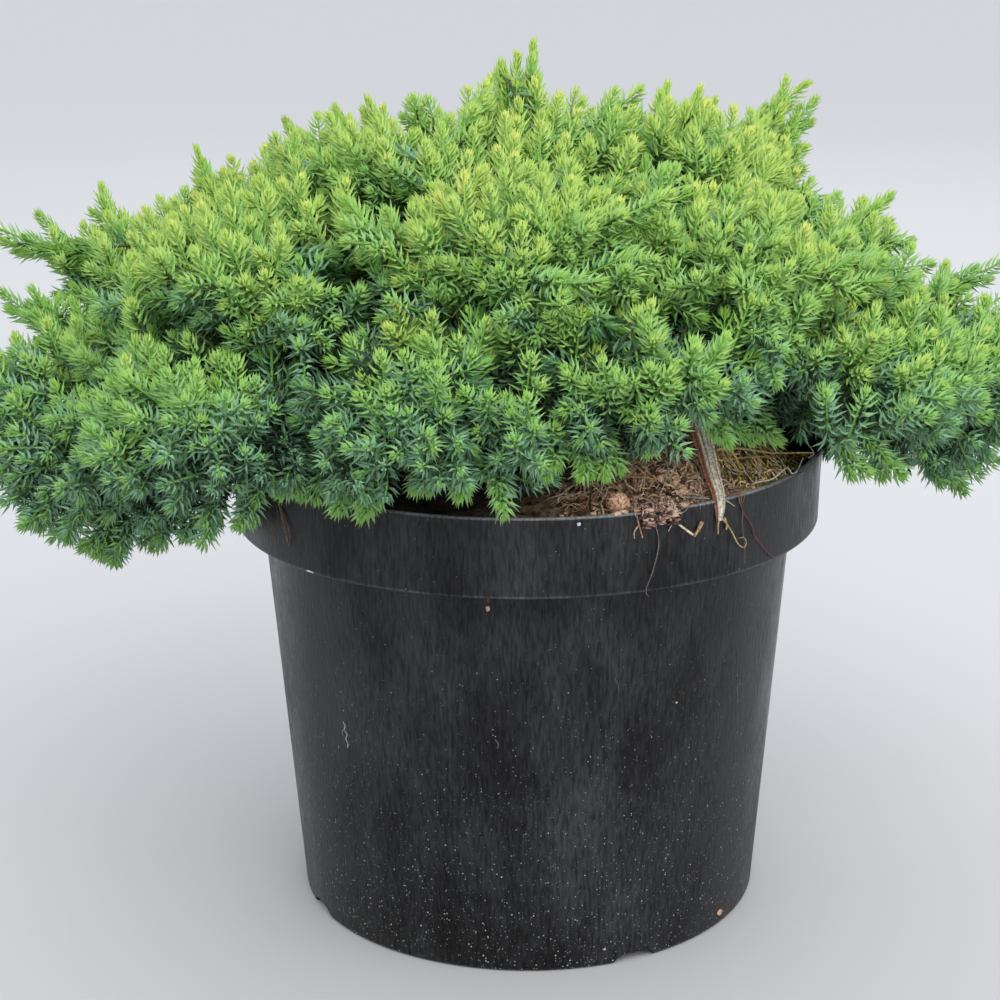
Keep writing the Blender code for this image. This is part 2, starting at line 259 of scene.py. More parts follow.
# Polypropylene from a polished mould is glossy. Rain and handling leave the gloss streaked from
# top to bottom, and grit on it that is thickest near the ground. The lip and the band's foot have a
# pale line painted on them: partly wear from handling, partly a painted highlight on the rounded edges.
GRIT = ((0.0011, 0.42, 0.20), (0.0007, 0.36, 0.16))  # spacing, and shares at the foot and higher up
GRIT_TOP = 0.19
GRIT_EDGE = 0.08  # width of a grain's soft edge, as a share of the spacing
GRIT_RARITY = 1.8  # how few of the grains are bright
GRIT_COLOUR, WEAR_AND_HIGHLIGHT_COLOUR = "#b4b3b0", "#e3e6e8"
tree = polypropylene.node_tree
shader = tree.nodes["Principled BSDF"]
place = add(tree, "TexCoord").outputs["Object"]
height = add(tree, "SeparateXYZ", {0: place}).outputs[2]


def streaks(width, length, detail):
    """Noise drawn out into upright streaks of about this width and length."""
    scale = (1 / width, 1 / width, 1 / length)
    space = add(tree, "Mapping", {0: place, 3: scale}).outputs[0]
    return add(tree, "TexNoise", {0: space, 2: 1, 3: detail, 4: 0.6}).outputs[0]


runs = add(
    tree, "Math", {0: streaks(0.0013, 0.008, 5), 1: streaks(0.042, 0.09, 2)}, operation="MULTIPLY"
).outputs[0]
film = add(
    tree, "ValToRGB", {0: runs},
    stops=[(0.13, "#050506"), (0.22, "#0d0d0e"), (0.32, "#18181a"), (0.44, "#2b2b2e")],
).outputs[0]
# A pale line is painted on the lip and just above the band's foot: partly wear, partly a painted highlight
# where the rounded edges catch the sky.
FOOT_LINE, LIP_LINE = step / POT_HEIGHT, 1 - 0.0008 / POT_HEIGHT
share_up = add(tree, "MapRange", {0: height, 1: 0, 2: POT_HEIGHT, 3: 0, 4: 1}).outputs[0]
edges = add(
    tree, "ValToRGB", {0: share_up},
    stops=[(FOOT_LINE - 0.001, "#000000"), (FOOT_LINE + 0.003, "#505050"), (FOOT_LINE + 0.007, "#000000"),
           (LIP_LINE, "#000000"), (1, "#c0c0c0")],
).outputs[0]
patchy = add(tree, "MapRange", {0: runs, 1: 0.14, 2: 0.36, 3: 0.15, 4: 1}).outputs[0]
wear_and_highlight = add(tree, "Math", {0: edges, 1: patchy}, operation="MULTIPLY").outputs[0]
with_wear_and_highlight = add(tree, "Mix", {0: wear_and_highlight, 6: film, 7: linear(WEAR_AND_HIGHLIGHT_COLOUR)}, data_type="RGBA").outputs[2]
speckled = with_wear_and_highlight
for pitch, at_foot, higher in GRIT:
    space = add(tree, "Mapping", {0: place, 3: (1 / pitch,) * 3}).outputs[0]
    cells = add(tree, "TexVoronoi", {0: space, 2: 1, 8: 1})
    chance, luck = add(tree, "SeparateColor", {0: cells.outputs[1]}).outputs[:2]
    share = add(tree, "MapRange", {0: height, 1: 0, 2: GRIT_TOP, 3: at_foot, 4: higher}).outputs[0]
    radius = add(tree, "Math", {0: share, 1: chance}, operation="SUBTRACT").outputs[0]
    inside_grain = add(tree, "Math", {0: radius, 1: cells.outputs[0]}, operation="SUBTRACT").outputs[0]
    bright = add(tree, "Math", {0: luck, 1: GRIT_RARITY}, operation="POWER").outputs[0]
    covered = add(tree, "MapRange", {0: inside_grain, 1: 0, 2: GRIT_EDGE, 3: 0, 4: 1}).outputs[0]
    grit = add(tree, "Math", {0: covered, 1: bright}, operation="MULTIPLY").outputs[0]
    layers = {0: grit, 6: speckled, 7: linear(GRIT_COLOUR)}
    speckled = add(tree, "Mix", layers, data_type="RGBA").outputs[2]
tree.links.new(speckled, shader.inputs["Base Color"])
specular = add(tree, "MapRange", {0: runs, 1: 0.16, 2: 0.34, 3: 0.22, 4: 0.45}).outputs[0]
tree.links.new(specular, shader.inputs["Specular IOR Level"])
dullness = add(tree, "MapRange", {0: runs, 1: 0.15, 2: 0.36, 3: 0.22, 4: 0.62}).outputs[0]
tree.links.new(dullness, shader.inputs["Roughness"])
streak_relief = add(tree, "Bump", {0: 0.5, 1: 0.0010, 3: runs}).outputs[0]
tree.links.new(streak_relief, shader.inputs["Normal"])

# --- Marks on the pot ---
# A dried drip, a few larger crumbs of grit and some scratches. Each is a thin patch or thread
# that stands just proud of the plastic where it was left.

POT_MARKS = (  # name, azimuth, height, width, length and colour of each
    ("drip", -97.8, 0.1808, 0.0018, 0.0030, "#d3b5a0"),
    ("drip_stain", -97.7, 0.1845, 0.0013, 0.0022, "#6e4a36"),
    ("label_dot", -81.1, 0.2221, 0.0015, 0.0015, "#d2d5d8"),
    ("leaf_scrap", -35.6, 0.0068, 0.0042, 0.0036, "#dba684"),
    ("foot_crumb", -72.0, 0.0090, 0.0016, 0.0012, "#a8a6a0"),
    ("band_nick", -133.3, 0.1897, 0.0050, 0.0008, "#e6e9ea"),
    ("pale_crumb", -57.0, 0.128, 0.0012, 0.0012, "#b5ab86"),
)
MARK_THICKNESS = 0.0003
MARK_UNEVEN, MARK_PITCH = 0.5, 3  # how far a mark is from round, and how often it turns
MOTTLE_GRAIN = 0.0012  # of the dull finishes of marks, litter and fibres
POT_SCRATCHES = (  # name, colour, radius, and azimuth and height of each point
    ("scuff", "#94989a", 0.0005, ((-134.4, .1128), (-133.7, .1112), (-134.2, .1094), (-133.3, .1070))),
    ("scuff_tail", "#9ea2a4", 0.0004, ((-133.3, .1072), (-134.0, .1046), (-133.4, .1024), (-133.7, .1004))),
    ("scuff_branch", "#76797b", 0.0003, ((-134.1, .1094), (-135.0, .1076), (-134.7, .1056))),
    ("scratch", "#5c5f61", 0.0003, ((-96.9, .1180), (-96.2, .1158), (-96.4, .1136))),
    ("high_scratch", "#47494b", 0.0003, ((-72.0, .1455), (-71.2, .1420), (-71.0, .1385))),
    ("right_scratch", "#5a5d5f", 0.0003, ((-37.2, .1280), (-37.8, .1235), (-37.1, .1200))),
)

SCRATCH_SUNK = 0.6  # of its radius


def wall_radius(height):
    """Radius of the pot's outside at a height."""
    if height > step:
        return BAND_FOOT_RADIUS + (RIM_RADIUS - BAND_FOOT_RADIUS) * (height - step) / BAND_HEIGHT
    return FOOT_RADIUS + (WALL_TOP_RADIUS - FOOT_RADIUS) * (height - FOOT_ROUND) / (step - FOOT_ROUND)


def around(azimuth, reach, height):
    """The place at an azimuth in degrees, a distance from the pot's axis and a height."""
    turn = math.radians(azimuth)
    return Vector((reach * math.cos(turn), reach * math.sin(turn), height))


def mottled(name, colour, roughness):
    """A dull dry material, such as dust, straw or moss, whose colour is broken up by dark grains."""
    made = material(name, colour, roughness)
    tree = made.node_tree
    place = add(tree, "TexCoord").outputs["Object"]
    grains = add(tree, "TexNoise", {0: place, 2: 1 / MOTTLE_GRAIN, 3: 3, 4: 0.6}).outputs[0]
    depth = add(tree, "MapRange", {0: grains, 1: 0.40, 2: 0.62, 3: 0.55, 4: 0}).outputs[0]
    mixed = add(tree, "Mix", {0: depth, 6: linear(colour), 7: linear("#000000")}, data_type="RGBA")
    tree.links.new(mixed.outputs[2], tree.nodes["Principled BSDF"].inputs["Base Color"])
    return made


def tubes(name, paths, sides, *materials):
    """One mesh of closed round tubes, each along a path of (point, radius)."""
    curve = bpy.data.curves.new(name, "CURVE")
    curve.dimensions = "3D"
    curve.bevel_depth = 1
    curve.bevel_resolution = max(0, sides // 2 - 2)
    curve.use_fill_caps = True
    for path in paths:
        line = curve.splines.new("POLY")
        line.points.add(len(path) - 1)
        line.points.foreach_set("co", [value for point, _ in path for value in (*point, 1)])
        line.points.foreach_set("radius", [radius for _, radius in path])
    source = bpy.data.objects.new(name, curve)
    bpy.context.scene.collection.objects.link(source)
    bpy.context.view_layer.update()
    mesh = bpy.data.meshes.new_from_object(source.evaluated_get(bpy.context.evaluated_depsgraph_get()))
    bpy.data.objects.remove(source)
    mesh.name = name
    for finish in materials:
        mesh.materials.append(finish)
    made = bpy.data.objects.new(name, mesh)
    bpy.context.scene.collection.objects.link(made)
    mesh.shade_smooth()
    return made


def eased(path, gap=0.0012):
    """The path of (point, radius) filled in smoothly, with a point at least every gap."""
    filled = []
    for index in range(len(path) - 1):
        before = path[max(index - 1, 0)][0]
        (start, first), (end, last) = path[index], path[index + 1]
        after = path[min(index + 2, len(path) - 1)][0]
        count = max(1, math.ceil((end - start).length / gap))
        for number in range(count):
            t = number / count
            bend = 0.5 * (
                2 * start + (end - before) * t + (2 * before - 5 * start + 4 * end - after) * t**2
                + (3 * start - before - 3 * end + after) * t**3
            )
            filled.append((bend, first + (last - first) * t))
    return filled + [path[-1]]


for name, azimuth, height, width, length, colour in POT_MARKS:
    bm = bmesh.new()
    bmesh.ops.create_icosphere(bm, subdivisions=3, radius=0.5)
    for vert in bm.verts:
        vert.co *= 1 + MARK_UNEVEN * noise.noise(vert.co * MARK_PITCH + Vector((azimuth, height, 0)))
    bmesh.ops.scale(bm, verts=bm.verts, vec=(MARK_THICKNESS, width, length))
    bmesh.ops.translate(bm, verts=bm.verts, vec=(wall_radius(height), 0, height))
    turn = Matrix.Rotation(math.radians(azimuth), 3, "Z")
    bmesh.ops.rotate(bm, verts=bm.verts, cent=(0, 0, 0), matrix=turn)
    mark = piece(name, bm, mottled("dried_" + name, colour, 0.7))
    mark.data.shade_smooth()
    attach(mark, "root")
for name, colour, radius, stops in POT_SCRATCHES:
    path = []
    for azimuth, height in stops:
        path.append((around(azimuth, wall_radius(height) - radius * SCRATCH_SUNK, height), radius))
    scratch = tubes(name, [eased(path)], 6, mottled("whitened_" + name, colour, 0.7))
    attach(scratch, "root")

# --- Compost ---
# Peat and composted bark that has sunk below the rim, with a heap of it pushed up against the
# front right of the wall. Its surface is crumbs, and the heap has dried to a paler brown, which is
# painted paler still as painted light where the crown shades it.

COMPOST_STEPS = 240
COMPOST_RINGS = 76
COMPOST_GAP = 0.0003  # between it and the pot
COMPOST_EDGE = BAND_FOOT_RADIUS - WALL - COMPOST_GAP
COMPOST_TOP = POT_HEIGHT - 0.01  # where its top is spun before it takes its relief
COMPOST_LOW = POT_HEIGHT - 0.016  # its height where the model has none
GROUND_SPREAD = 0.006  # how far round a point its height is averaged
CRUMB_RELIEF = ((85, 0.0024), (210, 0.0016), (520, 0.0009))  # (lumps across a metre, height)
# The dry colour is painted paler than dry peat, as painted light under the crown's shade.
WET_PEAT, DRY_PEAT_WITH_PAINTED_LIGHT = "#211912", "#e6c4a2"
DRY_FROM, DRY_TO = 0.217, 0.229  # heights between which the compost turns from wet to dry
LITTER_LOW = POT_HEIGHT - 0.011  # the lowest that loose pieces lie
LIP_GAP = 0.0006  # between the band and what hangs over it
ABOVE_ALL = 0.4
rng = np.random.default_rng(41)


def tree_of(*names):
    """A BVH tree of these CAD nodes together."""
    points, faces = [], []
    for name in names:
        mesh = nodes[name].data
        faces += [[index + len(points) for index in face.vertices] for face in mesh.polygons]
        points += [vert.co for vert in mesh.vertices]
    return BVHTree.FromPolygons([point.copy() for point in points], faces)


compost_tree = tree_of("compost")


def ground(x, y):
    """Height of the compost's own surface, averaged over the facets around the point."""
    heights = []
    for across, along in ((0, 0), (1, 0), (-1, 0), (0, 1), (0, -1)):
        spot = Vector((x + across * GROUND_SPREAD, y + along * GROUND_SPREAD, ABOVE_ALL))
        hit = compost_tree.ray_cast(spot, Vector((0, 0, -1)))[0]
        if hit:
            heights.append(hit.z)
    return sum(heights) / len(heights) if heights else COMPOST_LOW


def crumbled(x, y):
    """Height of the compost with its crumbs."""
    relief = sum(depth * noise.noise(Vector((x * pitch, y * pitch, pitch))) for pitch, depth in CRUMB_RELIEF)
    return ground(x, y) + relief


rings = [COMPOST_EDGE * (1 - index / COMPOST_RINGS) for index in range(COMPOST_RINGS + 1)]
profile = [
    (0, BASE_THICKNESS + COMPOST_GAP),
    (FOOT_RADIUS - WALL - 2 * COMPOST_GAP, BASE_THICKNESS + COMPOST_GAP),
    (WALL_TOP_RADIUS - WALL - 2 * COMPOST_GAP, step + WALL + COMPOST_GAP),
    (COMPOST_EDGE, step + WALL + COMPOST_GAP),
    *((radius, COMPOST_TOP) for radius in rings),
]
bm = spun(profile, COMPOST_STEPS)
for vert in bm.verts:
    if vert.co.z > COMPOST_TOP - 1e-5:
        vert.co.z = crumbled(vert.co.x, vert.co.y)
# Peat is dull and nearly black while it is wet, and a pale brown where it has dried; the dry colour is
# painted paler still, as painted light where the crown shades the heap.
peat = material("peat_and_bark_compost", WET_PEAT, 0.95)
compost = piece("compost_surface", bm, peat)
smooth(compost, 60)
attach(compost, "root")
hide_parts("compost")

tree = peat.node_tree
place = add(tree, "TexCoord").outputs["Object"]
height = add(tree, "SeparateXYZ", {0: place}).outputs[2]
lumps = add(tree, "TexNoise", {0: place, 2: 330, 3: 6, 4: 0.7}).outputs[0]
wet_stops = [(0.34, "#080605"), (0.5, WET_PEAT), (0.7, "#4c3a2c")]
dry_stops = [(0.34, "#3d2a1e"), (0.44, "#a87f60"), (0.60, DRY_PEAT_WITH_PAINTED_LIGHT)]
wet, dry = (add(tree, "ValToRGB", {0: lumps}, stops=stops).outputs[0] for stops in (wet_stops, dry_stops))
dryness = add(tree, "MapRange", {0: height, 1: DRY_FROM, 2: DRY_TO, 3: 0, 4: 1}).outputs[0]
peat_colour = add(tree, "Mix", {0: dryness, 6: wet, 7: dry}, data_type="RGBA").outputs[2]
tree.links.new(peat_colour, tree.nodes["Principled BSDF"].inputs["Base Color"])
crumb_bump = add(tree, "Bump", {0: 0.9, 1: 0.0012, 3: lumps}).outputs[0]
tree.links.new(crumb_bump, tree.nodes["Principled BSDF"].inputs["Normal"])


def resting(x, y, lift):
    """A place on the compost or the lip, or past the lip as far down the band's outside."""
    reach = math.hypot(x, y)
    over = reach - RIM_RADIUS - LIP_GAP
    if over > 0:
        shrink = (RIM_RADIUS + LIP_GAP) / reach
        return Vector((x * shrink, y * shrink, POT_HEIGHT - over))
    floor = POT_HEIGHT if reach > COMPOST_EDGE else max(crumbled(x, y), LITTER_LOW)
    return Vector((x, y, floor + lift))


# --- Crumbs and bark ---
# Loose crumbs of peat and flakes of composted pine bark lie all over the surface, most of them
# on the heap, with one round chunk of bark at its foot.

ANYWHERE = ((-180, 180), (0, COMPOST_EDGE - 0.002))
# The pale crumbs and flakes on the heap are painted paler than their own colours, as painted light where the
# crown shades the heap.
CRUMBS = (  # name, colour, count, (azimuths, reaches) and sizes
    ("peat_crumbs", "#3a2a1e", 480, ANYWHERE, (.0008, .003)),
    ("pale_crumbs", "#9c7a5a", 160, ANYWHERE, (.0008, .0024)),
    ("dark_heap_crumbs", "#4a3323", 150, ((-84, -8), (.098, .137)), (.0008, .0028)),
    ("heap_crumbs", "#ebc5a1", 320, ((-84, -40), (.1, .1375)), (.0008, .0034)),
    ("moss_crumbs", "#b3a04c", 240, ((-48, -6), (.104, .1365)), (.0008, .0026)),
    ("bark_flakes", "#e8c3a4", 110, ((-77, -58), (.108, .1385)), (.0016, .0056)),
    ("red_bark_flakes", "#a5705a", 80, ((-79, -56), (.108, .1385)), (.0016, .0052)),
    ("dark_bark_flakes", "#5b3d2e", 90, ((-84, -54), (.106, .1385)), (.0016, .0046)),
    ("torn_flakes", "#dcb8a6", 60, ((-69.5, -63), (.1325, .146)), (.001, .0036)),
    ("torn_red_flakes", "#9b6f60", 60, ((-69.5, -63), (.1325, .1475)), (.001, .0038)),
    ("torn_dark_flakes", "#4d3a33", 50, ((-70, -62.5), (.1325, .148)), (.001, .0034)),
    ("lip_grit", "#9c9a92", 70, ((-150, -84), (.129, .1365)), (.0006, .0014)),
)
CRUMB_SHAPES = ((1, 0.6, 0.3), (1.6, 1, 0.7))  # the least and most of its length, width and height
CRUMB_UNEVEN = (0.45, 1.4)  # how far its corners stand out
CRUMB_LIFT = 0.0004
CHUNK_PLACE, CHUNK_SIZE = around(-72.6, 0.1290, 0.2268), (0.0096, 0.0080, 0.0090)


def joined(name, points, faces, finish, finishes):
    """One mesh piece from arrays of points, triangles and each triangle's material."""
    mesh = bpy.data.meshes.new(name)
    mesh.vertices.add(len(points))
    mesh.vertices.foreach_set("co", points.astype(np.float32).ravel())
    mesh.loops.add(faces.size)
    mesh.loops.foreach_set("vertex_index", faces.astype(np.int32).ravel())
    mesh.polygons.add(len(faces))
    mesh.polygons.foreach_set("loop_start", np.arange(0, faces.size, 3, dtype=np.int32))
    used = sorted(set(finish.tolist()))
    for index in used:
        mesh.materials.append(finishes[index])
    mesh.polygons.foreach_set("material_index", np.searchsorted(used, finish).astype(np.int32))
    mesh.update(calc_edges=True)
    mesh.validate()
    made = bpy.data.objects.new(name, mesh)
    bpy.context.scene.collection.objects.link(made)
    return made


def grained(finish, grains_a_metre, detail, coarseness, stops):
    """Gives the material grains that take their colours from the stops."""
    tree = finish.node_tree
    place = add(tree, "TexCoord").outputs["Object"]
    inputs = {0: place, 2: grains_a_metre, 3: detail, 4: coarseness}
    grains = add(tree, "TexNoise", inputs).outputs[0]
    colour = add(tree, "ValToRGB", {0: grains}, stops=stops).outputs[0]
    tree.links.new(colour, tree.nodes["Principled BSDF"].inputs["Base Color"])


def litter_place(azimuths, reaches):
    """An even random place on the compost between these azimuths and reaches."""
    return around(rng.uniform(*azimuths), math.sqrt(rng.uniform(reaches[0] ** 2, reaches[1] ** 2)), 0)


bm = bmesh.new()
bmesh.ops.create_icosphere(bm, subdivisions=1, radius=0.5)
ball = np.array([vert.co[:] for vert in bm.verts])
ball_faces = np.array([[vert.index for vert in face.verts] for face in bm.faces])
bm.free()
for name, colour, count, region, size in CRUMBS:
    spots = np.array([resting(*litter_place(*region).xy, CRUMB_LIFT) for _ in range(count)])
    flatness = rng.uniform(*CRUMB_SHAPES, (count, 3))
    sizes = rng.uniform(*size, (count, 1, 1)) * flatness[:, None]
    lumpy = ball[None] * rng.uniform(*CRUMB_UNEVEN, (count, len(ball), 1))
    turns = rng.uniform(0, math.tau, count)
    crumbs = lumpy * sizes
    cos, sin = np.cos(turns)[:, None], np.sin(turns)[:, None]
    east, north, up = crumbs[..., 0], crumbs[..., 1], crumbs[..., 2]
    crumbs = np.stack((east * cos - north * sin, east * sin + north * cos, up), 2)
    faces = (np.arange(count) * len(ball))[:, None, None] + ball_faces[None]
    crumb_piece = joined(
        name, (spots[:, None] + crumbs).reshape(-1, 3), faces.reshape(-1, 3),
        np.zeros(count * len(ball_faces), int), [mottled(name, colour, 0.95)],
    )
    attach(crumb_piece, "root")

bm = bmesh.new()
bmesh.ops.create_icosphere(bm, subdivisions=5, radius=0.5)
for vert in bm.verts:
    vert.co *= 1 + 0.16 * noise.noise(vert.co * 5) + 0.10 * noise.noise(vert.co * 17)
bmesh.ops.scale(bm, verts=bm.verts, vec=CHUNK_SIZE)
bmesh.ops.translate(bm, verts=bm.verts, vec=CHUNK_PLACE)
# Weathered pine bark is pale and dull, with dark pits between its cork cells.
chunk_bark = material("pine_bark_chunk", "#e0bc9e", 0.9)
grained(chunk_bark, 900, 4, 0.65, [(0.40, "#6d4532"), (0.46, "#dba680"), (0.66, "#f3d2b4")])
chunk = piece("bark_chunk", bm, chunk_bark)
chunk.data.shade_smooth()
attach(chunk, "root")

# --- Fibres ---
# Bark fibre, old roots and moss matted over the heap. Some of it has been dragged over the lip
# and hangs down the outside of the band.

# The pale fibres and moss on the heap are painted paler than their own colours, as painted light where the
# crown shades the heap.
# Each kind: name, colour, count, azimuths, reaches, lengths, radii, the highest that it is lifted
# and how far its direction strays from straight out, in radians. Only the last ones hang.
FIBRES = (
    ("dark_fibre", "#5a3d2a", 90, (-84, -38), (.104, .137), (.008, .022), (.0002, .0005), .0042, 9),
    ("brown_fibre", "#dcb592", 170, (-84, -40), (.104, .137), (.006, .016), (.00025, .0006), .005, 9),
    ("tan_fibre", "#f0d6b0", 190, (-82, -12), (.106, .137), (.005, .016), (.00016, .0005), .006, 9),
    ("grey_fibre", "#c4b8aa", 60, (-70, -36), (.11, .137), (.008, .018), (.00014, .00034), .005, 9),
    ("moss", "#b5a64c", 330, (-48, -6), (.106, .136), (.002, .006), (.0002, .0004), .004, 9),
    ("olive_moss", "#6d6c3c", 300, (-50, -4), (.102, .136), (.002, .006), (.0002, .0004), .0036, 9),
    ("dark_moss", "#3c3823", 240, (-50, -4), (.102, .136), (.002, .007), (.0002, .00045), .004, 9),
    ("ochre_litter", "#e6c373", 120, (-46, -8), (.11, .136), (.003, .01), (.0003, .0006), .0045, 9),
    ("torn_bark", "#d9b7a4", 40, (-70, -63), (.131, .1375), (.005, .014), (.0002, .00065), .0036, 1.5),
    ("torn_grey_bark", "#a38f84", 26, (-70, -63), (.131, .1375), (.005, .013), (.0002, .00055), .0036, 1.5),
    ("torn_dark_bark", "#6a4a3d", 34, (-70.5, -62), (.131, .1375), (.005, .014), (.0002, .0006), .003, 1.5),
    ("lip_fibre", "#a08069", 16, (-60, -45), (.131, .1385), (.004, .009), (.00018, .00036), .002, 1.4),
)
FIBRE_POINTS = 6
FIBRE_BEND = 1.3  # radians along its whole length
LOOSE_STRAY = 2  # one that strays further than this never leaves the compost
for name, colour, count, azimuths, reaches, lengths, radii, lift, stray in FIBRES:
    paths = []
    for _ in range(count):
        start = around(rng.uniform(*azimuths), rng.uniform(*reaches), 0)
        way = math.atan2(start.y, start.x) + rng.normal(0, stray)
        bend, length, radius = rng.normal(0, FIBRE_BEND), rng.uniform(*lengths), rng.uniform(*radii)
        high = rng.uniform(0, lift)
        path = []
        for number in range(FIBRE_POINTS):
            share = number / (FIBRE_POINTS - 1)
            if stray > LOOSE_STRAY and start.length > COMPOST_EDGE - 0.001:
                start *= (COMPOST_EDGE - 0.001) / start.length
            spot = resting(start.x, start.y, radius + high * math.sin(math.pi * (0.15 + 0.6 * share)))
            path.append((spot, radius * (1 - 0.75 * share**2)))
            start += Vector((math.cos(way), math.sin(way), 0)) * length / (FIBRE_POINTS - 1)
            way += bend / FIBRE_POINTS
        paths.append(path)
    mat = tubes(name, paths, 4, mottled(name, colour, 0.9))
    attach(mat, "root")

# Each strand: name, colour, radii of its two ends, then its points as azimuth, reach and height.
STRANDS = (
    ("cream_straw", "#e2d3ba", .0004, .0006,
     ((-66.6, .1396, .2256), (-63.1, .1403, .2185), (-59.8, .1402, .2121))),
    ("hanging_root", "#7d6f66", .0003, .00016, (
        (-67.5, .136, .227), (-67.4, .1402, .22), (-66.6, .1402, .2104), (-67.6, .1401, .1992),
        (-68.9, .14, .1905), (-68.4, .14, .1875))),
    ("forked_root", "#b58a6d", .0005, .0003, (
        (-69.5, .1209, .2315), (-69.8, .129, .23), (-70.7, .1375, .2272), (-70.6, .1403, .2215),
        (-69.7, .1402, .214))),
    ("forked_tip", "#c49b80", .0004, .0002,
     ((-70.4, .1404, .22), (-71.3, .1404, .217), (-71.2, .1402, .214))),
    ("red_root", "#7c4338", .0003, .00018, (
        (-50.6, .133, .2275), (-49.4, .1388, .2262), (-48.4, .1402, .2179), (-45.8, .1401, .2099),
        (-44.3, .14, .2029), (-40.9, .1399, .1949), (-37.8, .1398, .1893))),
    ("grey_thread", "#716d6b", .00022, .00014, (
        (-49.2, .137, .2268), (-48.4, .1401, .2179), (-48.3, .1401, .2118), (-47.5, .14, .201),
        (-47.2, .1398, .1931))),
    ("white_root", "#ddd4c6", .00035, .00025, (
        (-43.0, .133, .2262), (-39.0, .138, .2268), (-33.5, .138, .229), (-32.6, .1396, .2262),
        (-30.2, .1396, .2262), (-26.5, .1385, .2295))),
    ("yellow_straw", "#d9b973", .0008, .0003, (
        (-45.5, .1184, .2395), (-39.2, .12, .238), (-34.4, .122, .2352), (-29.0, .125, .2318),
        (-24.0, .129, .2295), (-19.4, .1385, .2278))),
    ("long_straw", "#c9a868", .0005, .0003,
     ((-44.5, .1225, .2355), (-38.0, .124, .234), (-31.0, .127, .2312))),
    ("pale_twig", "#cfc5b4", .0003, .0002,
     ((-18.0, .133, .233), (-18.9, .1385, .2276), (-21.0, .137, .2262))),
    ("tan_straw", "#d3a878", .0005, .0003,
     ((-66.8, .112, .2395), (-65.8, .1175, .2375), (-64.0, .1235, .2328))),
    ("crossed_straw", "#c59b6e", .0004, .0003,
     ((-69.5, .119, .235), (-66.0, .1205, .2345), (-62.5, .1225, .233))),
    ("red_stem", "#8a5643", .0006, .0004,
     ((-52.6, .1034, .245), (-55.2, .1134, .2412), (-55.7, .1204, .2372))),
    ("second_red_stem", "#734939", .0005, .0004,
     ((-51.2, .1034, .2448), (-53.9, .1134, .2409), (-54.2, .1194, .2368))),
    ("pale_fibre", "#c3b9ad", .0003, .0002,
     ((-56.5, .125, .2325), (-54.5, .1262, .232), (-52.8, .1262, .2318))),
    ("grey_stem", "#a09893", .0004, .0003,
     ((-60.0, .131, .2265), (-57.6, .1365, .2266), (-55.8, .1385, .2262))),
    ("short_straw", "#cbb695", .0003, .0002,
     ((-54.0, .1388, .2264), (-52.0, .1402, .2235), (-50.3, .1401, .2206))),
    ("chip_on_band", "#c09a70", .0005, .001,
     ((-59.5, .1402, .2112), (-58.7, .1404, .214), (-57.9, .1404, .2172))),
    ("left_straw", "#8f6f52", .0004, .0002,
     ((-141.2, .1401, .217), (-139.8, .1402, .2075), (-138.7, .14, .1989))),
    ("left_wisp", "#7a5d44", .0003, .0002,
     ((-140.4, .1401, .215), (-138.6, .1402, .208), (-138.0, .14, .202))),
)
for name, colour, first_radius, last_radius, stops in STRANDS:
    radii = np.linspace(first_radius, last_radius, len(stops))
    path = [(around(*stop), radius) for stop, radius in zip(stops, radii)]
    strand = tubes(name, [eased(path)], 6, mottled(name, colour, 0.8))
    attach(strand, "root")

# --- Dry stalk ---
# An old flower stalk that has split lengthwise. Its fibres lie side by side, spread at the top
# and drawn together at the lip, and end outside the band in two threads and a loop.

STALK_LINE = ((-48.4, .1110, .2560), (-50.2, .1188, .2475), (-51.4, .1246, .2418), (-52.6, .1306, .2350),
              (-53.5, .1370, .2288), (-54.1, .1406, .2230), (-54.2, .1408, .2165))
STALK_SPREAD = (0.0040, 0.0037, 0.0034, 0.0030, 0.0025, 0.0019, 0.0010)  # half width at each point
STALK_FACE = Vector((0.25, -1, 0))  # the side it shows
STALK_THINNING = 0.45  # of a fibre's radius, by its lower end
THREAD_RADIUS, THREAD_THINNING = 0.00042, 0.00004  # at its start, and less by this at each point
STALK_FIBRES = (  # place across, from -1 to 1, how far it stands out, thickness, and colour
    (-1.00, 0.0000, 0.00095, "#b5705a"),
    (-0.72, 0.0007, 0.00090, "#8f604c"),
    (-0.42, 0.0009, 0.00105, "#d3c7b2"),
    (-0.12, 0.0002, 0.00070, "#5a493b"),
    (0.14, 0.0009, 0.00110, "#e6dbc6"),
    (0.44, 0.0010, 0.00100, "#c9bca5"),
    (0.72, 0.0007, 0.00090, "#a89b89"),
    (1.00, 0.0001, 0.00080, "#eae1cf"),
)
line = [around(*stop) for stop in STALK_LINE]
for number, (share, stand, radius, colour) in enumerate(STALK_FIBRES):
    path = []
    for index, point in enumerate(line):
        along = (line[min(index + 1, len(line) - 1)] - line[max(index - 1, 0)]).normalized()
        side = STALK_FACE.cross(along).normalized()
        face = side.cross(along).normalized()
        thinned = radius * (1 - STALK_THINNING * index / (len(line) - 1))
        path.append((point + side * share * STALK_SPREAD[index] - face * stand, thinned))
    fibre = tubes(f"stalk_fibre_{number}", [eased(path)], 6, mottled(f"dry_stalk_{number}", colour, 0.85))
    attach(fibre, "root")
STALK_THREADS = (
    ((-53.4, .1402, .2168), (-52.4, .1403, .2140), (-51.2, .1406, .2100), (-49.5, .1406, .2035),
     (-47.9, .1406, .2010), (-47.2, .1402, .2030), (-48.0, .1404, .2055), (-49.2, .1402, .2058)),
    ((-53.8, .1402, .2180), (-54.5, .1410, .2150), (-54.3, .1404, .2100)),
    ((-52.9, .1406, .2170), (-52.3, .1404, .2135), (-52.4, .1404, .2112)),
)
